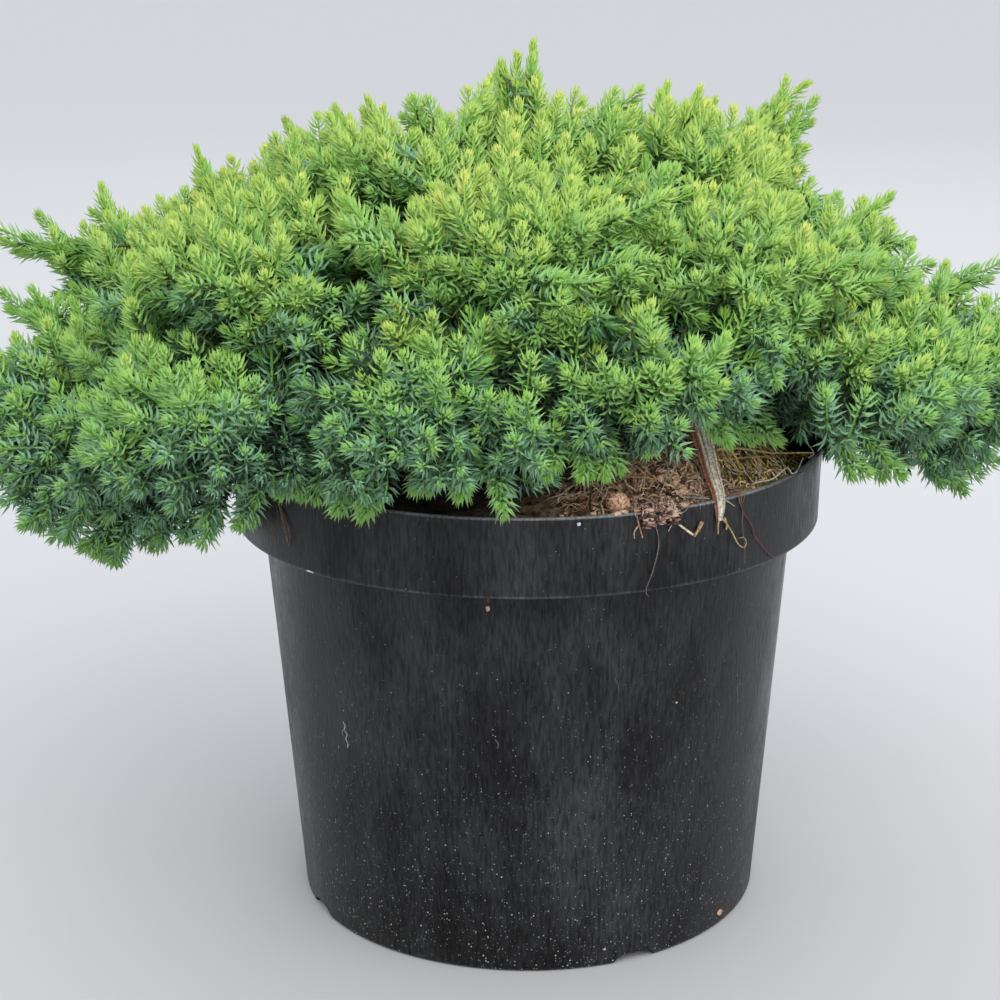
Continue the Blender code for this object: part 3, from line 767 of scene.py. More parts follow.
threads = [
    eased([(around(*stop), THREAD_RADIUS - THREAD_THINNING * number) for number, stop in enumerate(stops)])
    for stops in STALK_THREADS
]
frayed = tubes("stalk_threads", threads, 6, mottled("dry_stalk_thread", "#c0a276", 0.85))
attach(frayed, "root")

# --- Stem and boughs ---
# Living wood under thin reddish brown bark that splits lengthwise. The stem stands in the
# compost, the low boughs spread from its foot, and each limb runs on into its foliage.

STEM_SIDES, LIMB_SIDES = 22, 14
BARK_RING_GAP = 0.0022
STEM_RIDGES, LIMB_RIDGES = (180, 0.0009), (405, 0.0005)  # ridges across a metre, and their height
FURROWS = 60  # breaks in a ridge along a metre
FLAKES, FLAKE_SHARE = 900, 0.35  # flakes across a metre, and their height as a share
STEM_SHARES = (0.02, 0.06, 0.12, 0.2, 0.32, 0.46, 0.6, 0.75, 0.88, 0.97)  # where it is measured
LIMB_SHARES = (0.06, 0.2, 0.36, 0.52, 0.68, 0.84, 0.96)
LIMB_RUN_ON, LIMB_THINNING = 0.006, 0.97  # how far a limb runs on into its twigs, and how thick


def sections(name, start, end, shares):
    """Centre and radius of the node's solid where planes across start to end cut it."""
    found = []
    for share in shares:
        cutter = bmesh.new()
        cutter.from_mesh(nodes[name].data)
        bmesh.ops.remove_doubles(cutter, verts=cutter.verts, dist=1e-5)
        cut = bmesh.ops.bisect_plane(
            cutter, geom=cutter.verts[:] + cutter.edges[:] + cutter.faces[:],
            plane_co=start.lerp(end, share), plane_no=(end - start).normalized(),
        )["geom_cut"]
        ring = [item.co.copy() for item in cut if isinstance(item, bmesh.types.BMVert)]
        cutter.free()
        if len(ring) > 3:
            centre = sum(ring, Vector()) / len(ring)
            found.append((centre, sum((point - centre).length for point in ring) / len(ring)))
    return found


def roughen(thing, along, ridges, depth):
    """Raises lengthwise bark ridges along a direction, with knots and flakes between them."""
    turn = along.rotation_difference(Vector((0, 0, 1))).to_matrix()
    for vert in thing.data.vertices:
        local = turn @ vert.co
        plate = noise.noise(Vector((local.x * ridges, local.y * ridges, local.z * FURROWS)))
        flake = noise.noise(vert.co * FLAKES)
        vert.co += vert.normal * depth * (plate + FLAKE_SHARE * flake)


# Juniper bark is dull and fibrous: reddish where it is fresh, grey brown where it has peeled.
bark = material("juniper_bark", "#6b4a35", 0.85)
grained(bark, 420, 5, 0.65, [(0.3, "#2b1a12"), (0.5, "#5a3a29"), (0.68, "#8a6449"), (0.8, "#a98b6e")])

masses = sorted(name for name in nodes if name.startswith("mass_"))
limbs = sorted(name for name in nodes if name.startswith(("bough_", "limb_")))
low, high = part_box("stem")
stem_foot = Vector(((low[0] + high[0]) / 2, (low[1] + high[1]) / 2, low[2]))
above_foot = stem_foot + Vector((0, 0, high[2] - low[2]))
head, _ = sections("stem", stem_foot, above_foot, STEM_SHARES[-1:])[0]
stem_top = Vector((*head.xy, high[2]))
stem_path = sections("stem", stem_foot, stem_top, STEM_SHARES)
stem = tubes("stem_bark", [eased(stem_path, BARK_RING_GAP)], STEM_SIDES, bark)
roughen(stem, stem_top - stem_foot, *STEM_RIDGES)
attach(stem, "root")
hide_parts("stem")


def centre_of(name):
    """The middle of the node's box."""
    return sum((Vector(corner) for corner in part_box(name)), Vector()) / 2


limb_ends = {}  # centre and radius of the limb's end in each mass
for name in limbs:
    mass = name.replace("bough_", "mass_").replace("limb_", "mass_")
    verts = [vert.co for vert in nodes[name].data.vertices]
    target = centre_of(mass)
    end = min(verts, key=lambda co: (co - target).length)
    start = max(verts, key=lambda co: (co - end).length)
    path = sections(name, start, end, LIMB_SHARES)
    limb_ends[mass] = path[-1]
    tip, radius = path[-1]
    path.append((tip + (tip - path[-2][0]).normalized() * LIMB_RUN_ON, radius * LIMB_THINNING))
    limb = tubes(name + "_bark", [eased(path, BARK_RING_GAP)], LIMB_SIDES, bark)
    roughen(limb, end - start, *LIMB_RIDGES)
    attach(limb, "root")
    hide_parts(name)

# --- Sprays ---
# The newest wood ends in sprays: a leading shoot with shorter side shoots round it. They crowd
# the light, so their tips make the crown's surface, and they turn up towards it as they grow.

SPRAY_GAP = 0.0150  # between the tips of neighbouring sprays
UNDER_GAP = 0.020  # the same, under the crown
INNER_GAP = 0.0166  # the same, of the old shaded sprays inside it
UNDER_SLOPE = -0.55  # a surface whose normal points further down than this is under the crown
CANDIDATE_PITCH = 0.0030  # spacing of the places that are tried
RAY_START = 0.0015  # how far off a surface the search for another one starts
CREASE_REACH = 0.020  # a place that faces another mass nearer than this is in a crease
CREASE_MOUTH = 0.009  # distance from both walls at which a spray has left a crease
MOUTH_DEPTH = 0.006  # how far its tip stays in there
CREASE_DEPTH, CREASE_STEPS = 0.040, 13  # the deepest crease that sprays grow out of, and the tries
OFF_SURFACE, OFF_STEM = 0.75, 0.30  # how strongly a spray turns off its surface and off the stem
TO_LIGHT, TO_GROUND = 1.6, 0.45  # how it turns up at the crown's top, and down at its foot
HEADING_STRAY, INNER_STRAY = 0.17, 0.5
SPRAY_LENGTH = (0.036, 0.048)
SPRAY_LEAST, SHORTENING = 0.02, 0.85  # a spray whose base would show is shortened, down to this
BASE_COVER = 0.002  # the least depth of its base
SIDE_SHOOTS = (2, 4)  # at least the first of these on a spray, and fewer than the last
SIDE_REACH = 0.015  # the longest side shoot
SIDE_SHARES, SIDE_LEAST = (0.50, 0.75), 0.004  # its length to the rest of the leader's, and added
SIDE_START, SIDE_RUN, SIDE_STRAY = 0.15, 0.60, 0.7  # where side shoots stand along the leader
SIDE_SPREAD, LONG_SPREAD = (30, 52), (16, 30)  # degrees between them and the leader
SIDE_LIFT, SIDE_BOW = 0.2, 0.07  # how far one turns to the leader's way, and bows
SIDE_CUT = 0.6  # left of one that would stand out too far
TURN, TURN_STRAY = math.radians(137.5), 0.4  # from one side shoot to the next, as leaves stand
SAG, SWAY = 0.1, 0.1  # how far a leader bows, as shares of its length
BUD = 4.4  # whorls of needles that stay nearly closed
TIP_DEPTH = -0.0045  # how far a tip stands out of the CAD surface, on average
SKIRT_DEPTH = -0.005  # the same under the crown, added
TIP_UNEVEN, TIP_PITCH = 0.0075, 30  # how uneven the tips are, and patches across a metre
INNER_DEPTH = 0.016  # the least depth of an inner spray's tip
INNER_LENGTH, INNER_REACH, INNER_SIDES = 0.024, 0.016, 2
INNER_TRIES = 2500
INNER_TONE = (-0.12, 0.75, 0.08)  # painted shade of the inner needles: darkest at the crown's foot, more at its top, and stray
BARE_BASE = 0.010  # the length at a shoot's base that has lost its needles
OLD_SCALE, SHADED_SCALE = 1.7, 1.15  # size of the needles in the crown's middle and in its creases
BASE_DEPTH = 0.014  # a spray whose base is less deep has an inner spray round it
SHADE_DEPTH = 0.004  # nothing dark grows less deep than this
CREASE_SHADE, BASE_SHADE = 0.16, 0.42  # painted shade: how much darker and bluer the sprays in creases and round shallow bases are painted
SIDE_TONE = (-0.05, 0.04)  # of side shoots: more than the leader's, and stray
HEM_UNEVEN = 0.003  # how far below the skirt a side shoot may hang
OVERHANG = 0.0045  # the furthest that a side shoot stands out of the surface
LONG_LEAST = 0.05  # length from which a leader's side shoots may stand out further
UP = Vector((0, 0, 1))
CROWN_LOW, CROWN_HIGH = 0.20, 0.39  # heights of its skirts and of its top
LONG_SHOOTS = (  # mass, then azimuth, reach, height, length and slope of each
    ("mass_top_middle", (
        (84, .04, .405, .05, 3.0), (95, .039, .4, .048, 3.0), (105, .044, .396, .045, 2.5),
    )),
    ("mass_top_left", (
        (162, .094, .377, .045, 1.2), (174, .073, .383, .045, 1.5),
    )),
    ("mass_top_right", (
        (14, .068, .388, .045, 3.0), (10, .082, .386, .045, 3.0),
    )),
    ("mass_high_left", (
        (175, .256, .323, .07, .12), (177, .215, .296, .036, .8), (174, .233, .328, .07, .3),
        (167, .211, .338, .045, 1.6),
    )),
    ("mass_high_left_back", (
        (159, .172, .354, .045, 1.2), (147, .141, .366, .045, .6),
    )),
    ("mass_high_right_back", (
        (50, .15, .37, .045, .9), (35, .158, .383, .045, 1.0), (41, .172, .374, .05, .8),
        (37, .178, .379, .075, .5), (39, .191, .37, .055, .9),
    )),
    ("mass_high_right", (
        (5, .172, .336, .05, .8), (-5, .181, .304, .035, .2),
    )),
    ("mass_low_right", (
        (3, .198, .304, .045, 1.5), (5, .228, .304, .07, .4), (-3, .223, .214, .05, -.2),
        (-6, .206, .202, .036, -1.6), (-7, .194, .21, .034, -1.8), (-8, .248, .236, .06, .1),
    )),
    ("mass_low_right_front", (
        (-36, .196, .236, .036, -1.2), (-39, .186, .238, .034, -1.2), (-42, .128, .246, .034, -1.2),
        (-38, .14, .244, .034, -1.2),
    )),
    ("mass_low_left", (
        (-179, .245, .296, .055, .8), (-178, .23, .298, .045, 1.5), (-176, .228, .289, .036, .6),
        (-175, .21, .295, .045, 1.8), (-177, .262, .238, .06, 0), (-167, .196, .176, .036, -3.0),
        (-163, .178, .19, .034, -2.0), (-170, .184, .183, .034, -1.6), (-152, .226, .206, .034, -1.8),
        (-160, .2, .184, .034, -1.6), (-163, .207, .186, .034, -1.6), (-158, .24, .208, .036, -1.2),
        (-159, .166, .193, .034, -1.6), (-162, .213, .19, .036, -1.6), (-164, .228, .2, .04, -.7),
    )),
    ("mass_low_left_front", (
        (-138, .186, .21, .032, -2.0), (-135, .173, .217, .032, -1.8), (-129, .164, .232, .032, -1.2),
        (-126, .152, .229, .032, -1.5),
    )),
    ("mass_low_front", (
        (-119, .165, .23, .034, -1.4), (-115, .162, .228, .034, -1.4), (-107, .146, .238, .032, -1.2),
        (-100, .156, .239, .032, -1.2), (-94, .158, .236, .032, -1.2), (-86, .155, .251, .034, -1.0),
    )),
    ("mass_low_front_right", (
        (-82, .156, .247, .034, -1.0), (-78, .154, .249, .034, -1.0), (-58, .154, .257, .034, -1.2),
    )),
    ("mass_low_right_back", (
        (38, .238, .262, .06, .3),
    )),
    ("mass_low_back", (
        (84, .226, .268, .06, .3),
    )),
    ("mass_low_left_back", (
        (133, .246, .266, .06, .3),
    )),
)
LONG_REACH = 0.010  # of the side shoots on a long shoot
LONG_SIDE_GAP = 0.006  # between those side shoots
LONG_TONE = (0.28, 0.74, 0.05)  # painted light by height: at the crown's foot, more at its top, and stray
LONG_BUD = (3, 9)  # closed whorls at the crown's foot, and more of them at its top
ROOM_ROUND_LONG = 0.014  # kept clear of other sprays round the tip of a long shoot
ROOM_ROUND_HANGING = 0.008  # the same, of one that hangs
CLEFTS = (  # gaps between the tufts: x, y, z and radius
    (.184, .004, .328, .028), (.154, .082, .337, .027), (.145, .012, .34, .02), (.024, .037, .389, .022),
    (-.035, .04, .385, .018), (-.099, .024, .377, .015), (-.063, .03, .38, .013),
    (-.145, .086, .354, .022), (-.243, .017, .312, .022), (-.214, -.008, .314, .02),
    (-.221, .058, .296, .014), (-.214, .028, .334, .013), (-.191, .037, .338, .011), (.16, .092, .354, .018),
    (-.035, .019, .39, .014), (-.044, .013, .386, .01), (.097, -.009, .387, .011),
    (-.034, .034, .394, .014), (-.036, .118, .388, .016), (.054, .012, .394, .009), (-.174, .031, .351, .01),
    (.191, -.017, .324, .012), (.173, -.023, .328, .01), (.194, -.01, .311, .008),
    (.203, -.007, .31, .009), (-.039, .061, .382, .01), (-.029, .008, .392, .009),
    (-.026, .069, .391, .009), (.092, .045, .382, .009), (.198, .014, .318, .012), (-.146, .053, .359, .01),
    (-.052, -.147, .24, .013), (-.081, -.15, .297, .011), (-.102, -.12, .295, .01),
    (-.028, -.165, .305, .01), (.024, -.176, .296, .009), (.037, -.183, .288, .008),
    (.009, -.165, .262, .009), (-.025, -.139, .341, .007), (.013, -.141, .343, .007),
    (.107, -.14, .263, .013), (-.139, -.169, .255, .01), (-.134, -.166, .276, .009),
    (-.112, -.159, .277, .008), (-.201, -.098, .232, .011),
)
TRIMMED = (  # a spray rooted here is cut away, for its stalk would show
    (-.057, -.005, .37, .009),
    (.139, .063, .338, .01),
    (-.19, .048, .329, .009),
)
# The tone of the needles: the yellow of new growth, with painted light and shade. It rises with
# height from the skirts to the top, and then more where the surface faces up, out at the crown's
# left and right ends, in the golden tufts, and by chance.
RISES, RISE_LIGHT = (0, 0.4, 0.6, 1), (-0.24, 0.03, 0.44, 0.72)
UPPER_LIGHT = 0.20
END_FROM, END_LIGHT = 0.10, 1.2  # distance from the middle where the ends start, and more a metre
TUFT_LIGHT, TUFT_PITCH = 0.20, 22  # by which tufts differ, and how many a metre
GOLD_LIGHT = 0.27
LIGHT_STRAY = 0.07
THINNED = ((0.0, 0.30, 0.50), (-0.16, -0.32, -0.8))  # noise under which nothing grows, by rise
THINNED_PITCH = 42  # bare patches across a metre
GOLDEN = (  # where the newest growth is at its yellowest, and how far round
    (-.048, -.12, .312, .018),
    (.044, -.182, .294, .018),
    (.147, -.09, .318, .02),
)
SKIRT = (  # azimuth and height of the lowest tips round the crown
    (-180, 0.172), (-158, 0.182), (-148, 0.2), (-138, 0.224), (-128, 0.236), (-90, 0.24), (-84, 0.236),
    (-72, 0.245), (-60, 0.264), (-52, 0.276), (-43, 0.277), (-38, 0.262), (-30, 0.246), (-20, 0.226),
    (-8, 0.211), (0, 0.196), (180, 0.175),
)
crown_tree = tree_of(*masses)


def facets(name):
    """The corners of the node's triangles."""
    mesh = nodes[name].data
    mesh.calc_loop_triangles()
    points = np.empty(len(mesh.vertices) * 3)
    mesh.vertices.foreach_get("co", points)
    corners = np.empty(len(mesh.loop_triangles) * 3, dtype=int)
    mesh.loop_triangles.foreach_get("vertices", corners)
    return points.reshape(-1, 3)[corners.reshape(-1, 3)]


def surface_places(name):
    """Even random places on the node's surface, each with its facet's normal."""
    corners = facets(name)
    edge, other = corners[:, 1] - corners[:, 0], corners[:, 2] - corners[:, 0]
    cross = np.cross(edge, other)
    area = np.linalg.norm(cross, axis=1) / 2
    count = int(area.sum() / CANDIDATE_PITCH**2)
    chosen = rng.choice(len(area), count, p=area / area.sum())
    u, v = rng.random(count), rng.random(count)
    fold = u + v > 1
    u[fold], v[fold] = 1 - u[fold], 1 - v[fold]
    points = corners[chosen, 0] + edge[chosen] * u[:, None] + other[chosen] * v[:, None]
    return [(Vector(p), Vector(n)) for p, n in zip(points, cross[chosen] / (2 * area[chosen, None]))]


def clearance(point):
    """How far the point stands out of the nearest mass, or below 0 inside one."""
    near, normal, _, distance = crown_tree.find_nearest(point)
    return distance if (point - near).dot(normal) > 0 else -distance


def rise_of(place):
    """How high the place is in the crown, from 0 at its skirts to 1 at its top."""
    return min(1, max(0, (place.z - CROWN_LOW) / (CROWN_HIGH - CROWN_LOW)))


def outwards(place, normal):
    """The way a spray faces: outwards, and up towards the light, more so on top of the crown."""
    out = Vector((place.x, place.y, 0)).normalized()
    upwards = UP * (TO_LIGHT * rise_of(place) - TO_GROUND)
    return (normal * OFF_SURFACE + out * OFF_STEM + upwards).normalized()


def in_crease(place, normal):
    """Whether the place faces another mass close by."""
    return crown_tree.ray_cast(place + normal * RAY_START, normal, CREASE_REACH)[0] is not None


def way_out(place, facing):
    """Where a spray that starts in a crease comes out at its mouth, or None in a deep one."""
    for number in range(1, CREASE_STEPS + 1):
        spot = place + facing * (CREASE_DEPTH * number / CREASE_STEPS)
        if clearance(spot) > CREASE_MOUTH:
            return spot - facing * MOUTH_DEPTH
    return None


def within(place, spots):
    """Whether the place is inside any of the spots, each its x, y, z and radius."""
    return any((place - Vector(middle)).length < radius for *middle, radius in spots)


def hem(place):
    """Height of the crown's skirt on the place's side of it."""
    return np.interp(math.degrees(math.atan2(place.y, place.x)), *zip(*SKIRT))


def sunlit(place, normal):
    """How yellow new growth is there, with painted light: more at the top and where the surface faces up."""
    light = np.interp(rise_of(place), RISES, RISE_LIGHT) + UPPER_LIGHT * (1 + normal.z)
    light += END_LIGHT * max(0, abs(place.x) - END_FROM)
    gold = GOLD_LIGHT if within(place, GOLDEN) else 0
    return light + TUFT_LIGHT * noise.noise(place * TUFT_PITCH) + gold + rng.normal(0, LIGHT_STRAY)


shoots = []  # (mass, base, tip, bow, clothed length, tone, scale, bud)
spray_bases = {name: [] for name in masses}


def grow_spray(mass, tip, heading, length, tone, sides, reach, scale=1, spread=SIDE_SPREAD, bud=BUD):
    """A leading shoot that ends at the tip, with side shoots spiralling up round it."""
    base = tip - heading * length
    first = heading.orthogonal().normalized()
    second = heading.cross(first)
    bow = (UP * -SAG + first * rng.uniform(-SWAY, SWAY) + second * rng.uniform(-SWAY, SWAY)) * length
    clothed = max(length - BARE_BASE, min(length, INNER_LENGTH))
    grown_before = len(shoots)
    shoots.append((mass, base, tip, bow, clothed, tone, scale, bud))
    spray_bases[mass].append(base)
    turn = rng.uniform(0, math.tau)
    for number in range(sides):
        share = SIDE_START + SIDE_RUN * (number + rng.uniform(0, SIDE_STRAY)) / sides
        turn += TURN + rng.uniform(-TURN_STRAY, TURN_STRAY)
        lean = math.radians(rng.uniform(*spread))
        aside = first * math.cos(turn) + second * math.sin(turn)
        way = (heading * math.cos(lean) + aside * math.sin(lean)).normalized()
        way += heading * SIDE_LIFT
        span = min(reach, (1 - share) * length * rng.uniform(*SIDE_SHARES) + SIDE_LEAST)
        root = base.lerp(tip, share) + bow * 4 * share * (1 - share)
        end = root + way * span
        if end.z < min(hem(end), tip.z) - HEM_UNEVEN:
            continue
        if clearance(end) > OVERHANG and length < LONG_LEAST:
            span *= SIDE_CUT
            end = root + way * span
        side_tone = tone + SIDE_TONE[0] + rng.normal(0, SIDE_TONE[1])
        shoots.append((mass, root, end, aside * span * SIDE_BOW, span, side_tone, scale, bud))
    if within(base, TRIMMED):
        del shoots[grown_before:]
        spray_bases[mass].pop()


class Crowd:
    """Places that keep their distance from each other, after one that is far from all of them."""

    def __init__(self):
        self.places = np.full((1, 3), 9.0)

    def room(self, place, gap):
        return ((self.places - place) ** 2).sum(axis=1).min() > gap * gap

    def join(self, place):
        self.places = np.vstack([self.places, place])


clear_of = list(CLEFTS)
for mass, tips in LONG_SHOOTS:
    for azimuth, reach, height, length, slope in tips:
        tip = around(azimuth, reach, height)
        heading = (around(azimuth, 1, 0) + UP * slope).normalized()
        clear_of.append((*tip, ROOM_ROUND_LONG if slope > 0 else ROOM_ROUND_HANGING))
        tone = LONG_TONE[0] + LONG_TONE[1] * rise_of(tip) + rng.normal(0, LONG_TONE[2])
        bud = LONG_BUD[1] * rise_of(tip) + LONG_BUD[0]
        sides = round(length / LONG_SIDE_GAP)
        grow_spray(mass, tip, heading, length, tone, sides, LONG_REACH, 1, LONG_SPREAD, bud)

outer, inner = Crowd(), Crowd()
shaded = []  # (mass, place, way, tone, scale) of what grows out of the light
for name in masses:
    for place, normal in surface_places(name):
        facing = outwards(place, normal)
        gap = UNDER_GAP if normal.z < UNDER_SLOPE else SPRAY_GAP
        spot = place
        # A spray in a crease is painted darker, as shade.
        if outer.room(place, gap) and in_crease(place, normal):
            shaded.append((name, place, facing, sunlit(place, normal) - CREASE_SHADE, SHADED_SCALE))
            spot = way_out(place, facing)
        if spot is None or not outer.room(spot, gap) or spot.z < hem(spot) or within(spot, clear_of):
            continue
        if noise.noise(spot * THINNED_PITCH) < np.interp(rise_of(spot), *THINNED):
            continue
        outer.join(spot)
        depth = TIP_DEPTH + TIP_UNEVEN * (noise.noise(spot * TIP_PITCH) + rng.uniform(-0.5, 0.5))
        depth += SKIRT_DEPTH * max(0, -normal.z)
        heading = (facing + Vector(rng.normal(0, HEADING_STRAY, 3))).normalized()
        tip, tone, length = spot + facing * depth, sunlit(spot, normal), rng.uniform(*SPRAY_LENGTH)
        while clearance(tip - heading * length) > -BASE_COVER and length > SPRAY_LEAST:
            length *= SHORTENING
        base = tip - heading * length
        if within(base, CLEFTS) or clearance(base) > 0:
            continue
        # The inner spray round a shallow base is painted darker, as shade.
        if -BASE_DEPTH < clearance(base) < -SHADE_DEPTH:
            shaded.append((name, base, facing, tone - BASE_SHADE, SHADED_SCALE))
        grow_spray(name, tip, heading, length, tone, int(rng.integers(*SIDE_SHOOTS)), SIDE_REACH)

for name in masses:
    low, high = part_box(name)
    centre = centre_of(name)
    for _ in range(INNER_TRIES):
        place = Vector(rng.uniform(low, high))
        if inner.room(place, INNER_GAP) and clearance(place) < -INNER_DEPTH:
            # Inner sprays are painted dark as shade, less so higher up in the crown.
            tone = INNER_TONE[1] * rise_of(place) + INNER_TONE[0] + rng.normal(0, INNER_TONE[2])
            shaded.append((name, place, (place - centre).normalized(), tone, OLD_SCALE))
            inner.join(place)
inner = Crowd()
for name, place, way, tone, scale in reversed(shaded):
    if not inner.room(place, INNER_GAP) or within(place, CLEFTS) or place.z < hem(place):
        continue
    heading = (way + Vector(rng.normal(0, INNER_STRAY, 3))).normalized()
    if clearance(place - heading * INNER_LENGTH) < 0:
        inner.join(place)
        grow_spray(name, place, heading, INNER_LENGTH, tone, INNER_SIDES, INNER_REACH, scale)

# --- Needles ---
# Three sharp needles stand in each whorl. They press close round a bud and open below it, green
# on the back and with a pale waxy band inside. New growth is yellow green, old needles are bluer,
# and the colours are also painted lighter where the crown is lit and darker where it is shaded.

NEEDLE_LENGTH = 0.0086
NEEDLE_WIDTH = 0.00100
NEEDLE_BOW = 0.0012  # how far its middle stands out from base and tip
BUD_NEEDLE, BUD_WHORLS = 0.38, 2.4  # length of a bud's first needles as a share, and how soon it grows
BUD_WIDTH = 0.75  # their width, as a share
BUD_SHARPNESS = 1.3  # how abruptly a bud ends
BUD_ANGLE = 7  # degrees between a bud's needles and its shoot
OPEN_TONES, OPEN_ANGLES = (0.2, 1.1), (76, 54)  # the same of open ones: fresh growth opens less
ANGLE_STRAY, WHORL_STRAY, LENGTH_STRAY = 5, 0.16, 0.08
MOST_WHORLS = 40
WHORL_TURN = 60  # degrees from one whorl to the next
WHORL_START, WHORL_GAP = 0.0002, 0.00080
WHORL_OPENING, WHORL_EVEN = 0.00007, 16  # more between older ones, until the gaps stay the same
SCALE_POWER = 1.6  # whorls are further apart on a shoot of larger needles
YOUNG_REACH = 0.0080  # length of the new growth at a tip
YOUNG_FRESH, TONE_FRESH, LEAST_FRESH = 0.52, 0.90, -0.06
FRESH_STRAY = 0.035
# A needle is too fine to be round, so its normals make it look so. Each is its own direction with
# so much of the direction across it and of its shoot's added, at its base, both edges and tip.
NEEDLE_SHADING = np.array([(0, -0.9), (-0.8, 0.15), (0.8, 0.15), (0, 0.45)])
# How fresh and how lit a needle of each colour is at least, then its back and its inner band.
# Living needles are waxy and not very glossy; the last colour is painted shade, nearly black, for
# the needles that the light doesn't reach.
NEEDLE_COLOURS = (
    ("gold_growth", 1.34, "#c4d254", "#d0dd70"),
    ("lime_growth", 1.03, "#9fc442", "#b2d368"),
    ("fresh_green", 0.73, "#7eb83a", "#9cc866"),
    ("leaf_green", 0.49, "#6ba740", "#92c470"),
    ("blue_green", 0.27, "#478147", "#84b489"),
    ("deep_green", 0.04, "#29502d", "#628b64"),
    ("shaded_green", -math.inf, "#0f2114", "#1b3325"),
)
fresh_and_lit_limits = [limit for _, limit, _, _ in NEEDLE_COLOURS]
needle_finishes = []
for name, _, back, band in NEEDLE_COLOURS:
    needle_finishes.append(material(name, back, 0.55))
    needle_finishes.append(material(name + "_band", band, 0.6))

# One needle: base, both edges at its widest, and tip, as shares of its width, bow and length.
needle_corners = np.array([(0, 0, 0), (-0.5, 1, 0.4), (0.5, 1, 0.4), (0, 0, 1)])
needle_faces = np.array([(0, 2, 1), (1, 2, 3), (0, 1, 3), (0, 3, 2)])
needle_bands = np.array([0, 0, 1, 1])


def across(direction):
    """Two unit vectors across each direction in an array."""
    helper = np.where(np.abs(direction[:, 2:3]) < 0.9, (0.0, 0.0, 1.0), (1.0, 0.0, 0.0))
    first = np.cross(direction, helper)
    first /= np.linalg.norm(first, axis=1, keepdims=True)
    return first, np.cross(direction, first)


def whorl_distance(index):
    """From a shoot's tip down to its whorl of that number."""
    return WHORL_START + WHORL_GAP * index + WHORL_OPENING * index * min(index, WHORL_EVEN)


owner = np.array([masses.index(shoot[0]) for shoot in shoots])
bases, tips, bows = (np.array([shoot[part] for shoot in shoots]) for part in (1, 2, 3))
clothed, tones, scales, buds = (np.array([shoot[part] for shoot in shoots]) for part in (4, 5, 6, 7))
lengths = np.linalg.norm(tips - bases, axis=1)
phases = rng.uniform(0, math.tau, len(shoots))

grown = []  # (mass index, corners, colour, normals) of every needle
for index in range(MOST_WHORLS):
    distance = whorl_distance(index) * scales**SCALE_POWER
    alive = distance < clothed
    if not alive.any():
        break
    share = 1 - distance[alive] / lengths[alive]
    root = bases[alive] + (tips - bases)[alive] * share[:, None]
    root += bows[alive] * (4 * share * (1 - share))[:, None]
    ahead = (tips - bases)[alive] + bows[alive] * (4 * (1 - 2 * share))[:, None]
    ahead /= np.linalg.norm(ahead, axis=1, keepdims=True)
    first, second = across(ahead)
    count = int(alive.sum())
    for number in range(3):
        turn = phases[alive] + math.radians(WHORL_TURN * index + 120 * number)
        turn += rng.normal(0, WHORL_STRAY, count)
        closed = np.exp(-((index / buds[alive]) ** BUD_SHARPNESS))
        opening = BUD_ANGLE * closed + np.interp(tones[alive], OPEN_TONES, OPEN_ANGLES) * (1 - closed)
        angle = np.radians(opening + rng.normal(0, ANGLE_STRAY, count))
        radial = first * np.cos(turn)[:, None] + second * np.sin(turn)[:, None]
        along = ahead * np.cos(angle)[:, None] + radial * np.sin(angle)[:, None]
        away = radial * np.cos(angle)[:, None] - ahead * np.sin(angle)[:, None]
        wide = np.cross(along, away)
        growth = 1 - (1 - BUD_NEEDLE) * math.exp(-index / BUD_WHORLS)
        span = NEEDLE_LENGTH * growth * rng.normal(1, LENGTH_STRAY, count) * scales[alive] ** 0.5
        width = NEEDLE_WIDTH * (BUD_WIDTH + (1 - BUD_WIDTH) * growth) * scales[alive]
        corners = root[:, None, :] + (
            needle_corners[None, :, 0, None] * (width[:, None] * wide)[:, None, :]
            + needle_corners[None, :, 1, None] * NEEDLE_BOW * away[:, None, :]
            + needle_corners[None, :, 2, None] * (span[:, None] * along)[:, None, :]
        )
        # A needle's score is its youth plus its spray's painted light and shade, and it picks the needle's
        # colour.
        fresh = YOUNG_FRESH * np.exp(-distance[alive] / YOUNG_REACH) + LEAST_FRESH
        fresh += TONE_FRESH * tones[alive] + rng.normal(0, FRESH_STRAY, count)
        colour = (fresh[:, None] <= fresh_and_lit_limits).sum(axis=1)
        shading = along[:, None] + (
            NEEDLE_SHADING[None, :, 0, None] * wide[:, None]
            + NEEDLE_SHADING[None, :, 1, None] * ahead[:, None]
        )
        grown.append((owner[alive], corners, colour, shading))

needle_owner, needle_points, needle_colour, needle_normal = (np.concatenate(part) for part in zip(*grown))

for index, name in enumerate(masses):
    mine = needle_owner == index
    count = int(mine.sum())
    faces = (np.arange(count) * len(needle_corners))[:, None, None] + needle_faces[None]
    finish = needle_colour[mine][:, None] * 2 + needle_bands[None]
    needles = joined(
        name.replace("mass_", "needles_"), needle_points[mine].reshape(-1, 3),
        faces.reshape(-1, 3), finish.ravel(), needle_finishes,
    )
    normals = needle_normal[mine].reshape(-1, 3)
    normals /= np.linalg.norm(normals, axis=1, keepdims=True)
    needles.data.normals_split_custom_set_from_vertices(normals.tolist())
    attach(needles, "root")
    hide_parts(name)

# --- Twigs ---
# Thin olive wood carries every spray. It grows on from the end of each bough, always towards
# the nearest spray that has no wood yet, and is thickest where most sprays hang on it.

TWIG_TIP_RADIUS = 0.0005
TWIG_STEP, TWIG_STRAY = 0.011, 0.0011
TWIG_THRIFT = 0.3  # how far a twig would rather fork near the limb
TWIG_DEPTH = 0.020  # the least depth of wood in the crown, short of a spray's base
PIPE_POWER = 2.6  # a twig's radius to this power grows with what hangs on it
CROWN_MIDDLE = Vector((0, 0, 0.26))
SHOOT_SIDES = 3


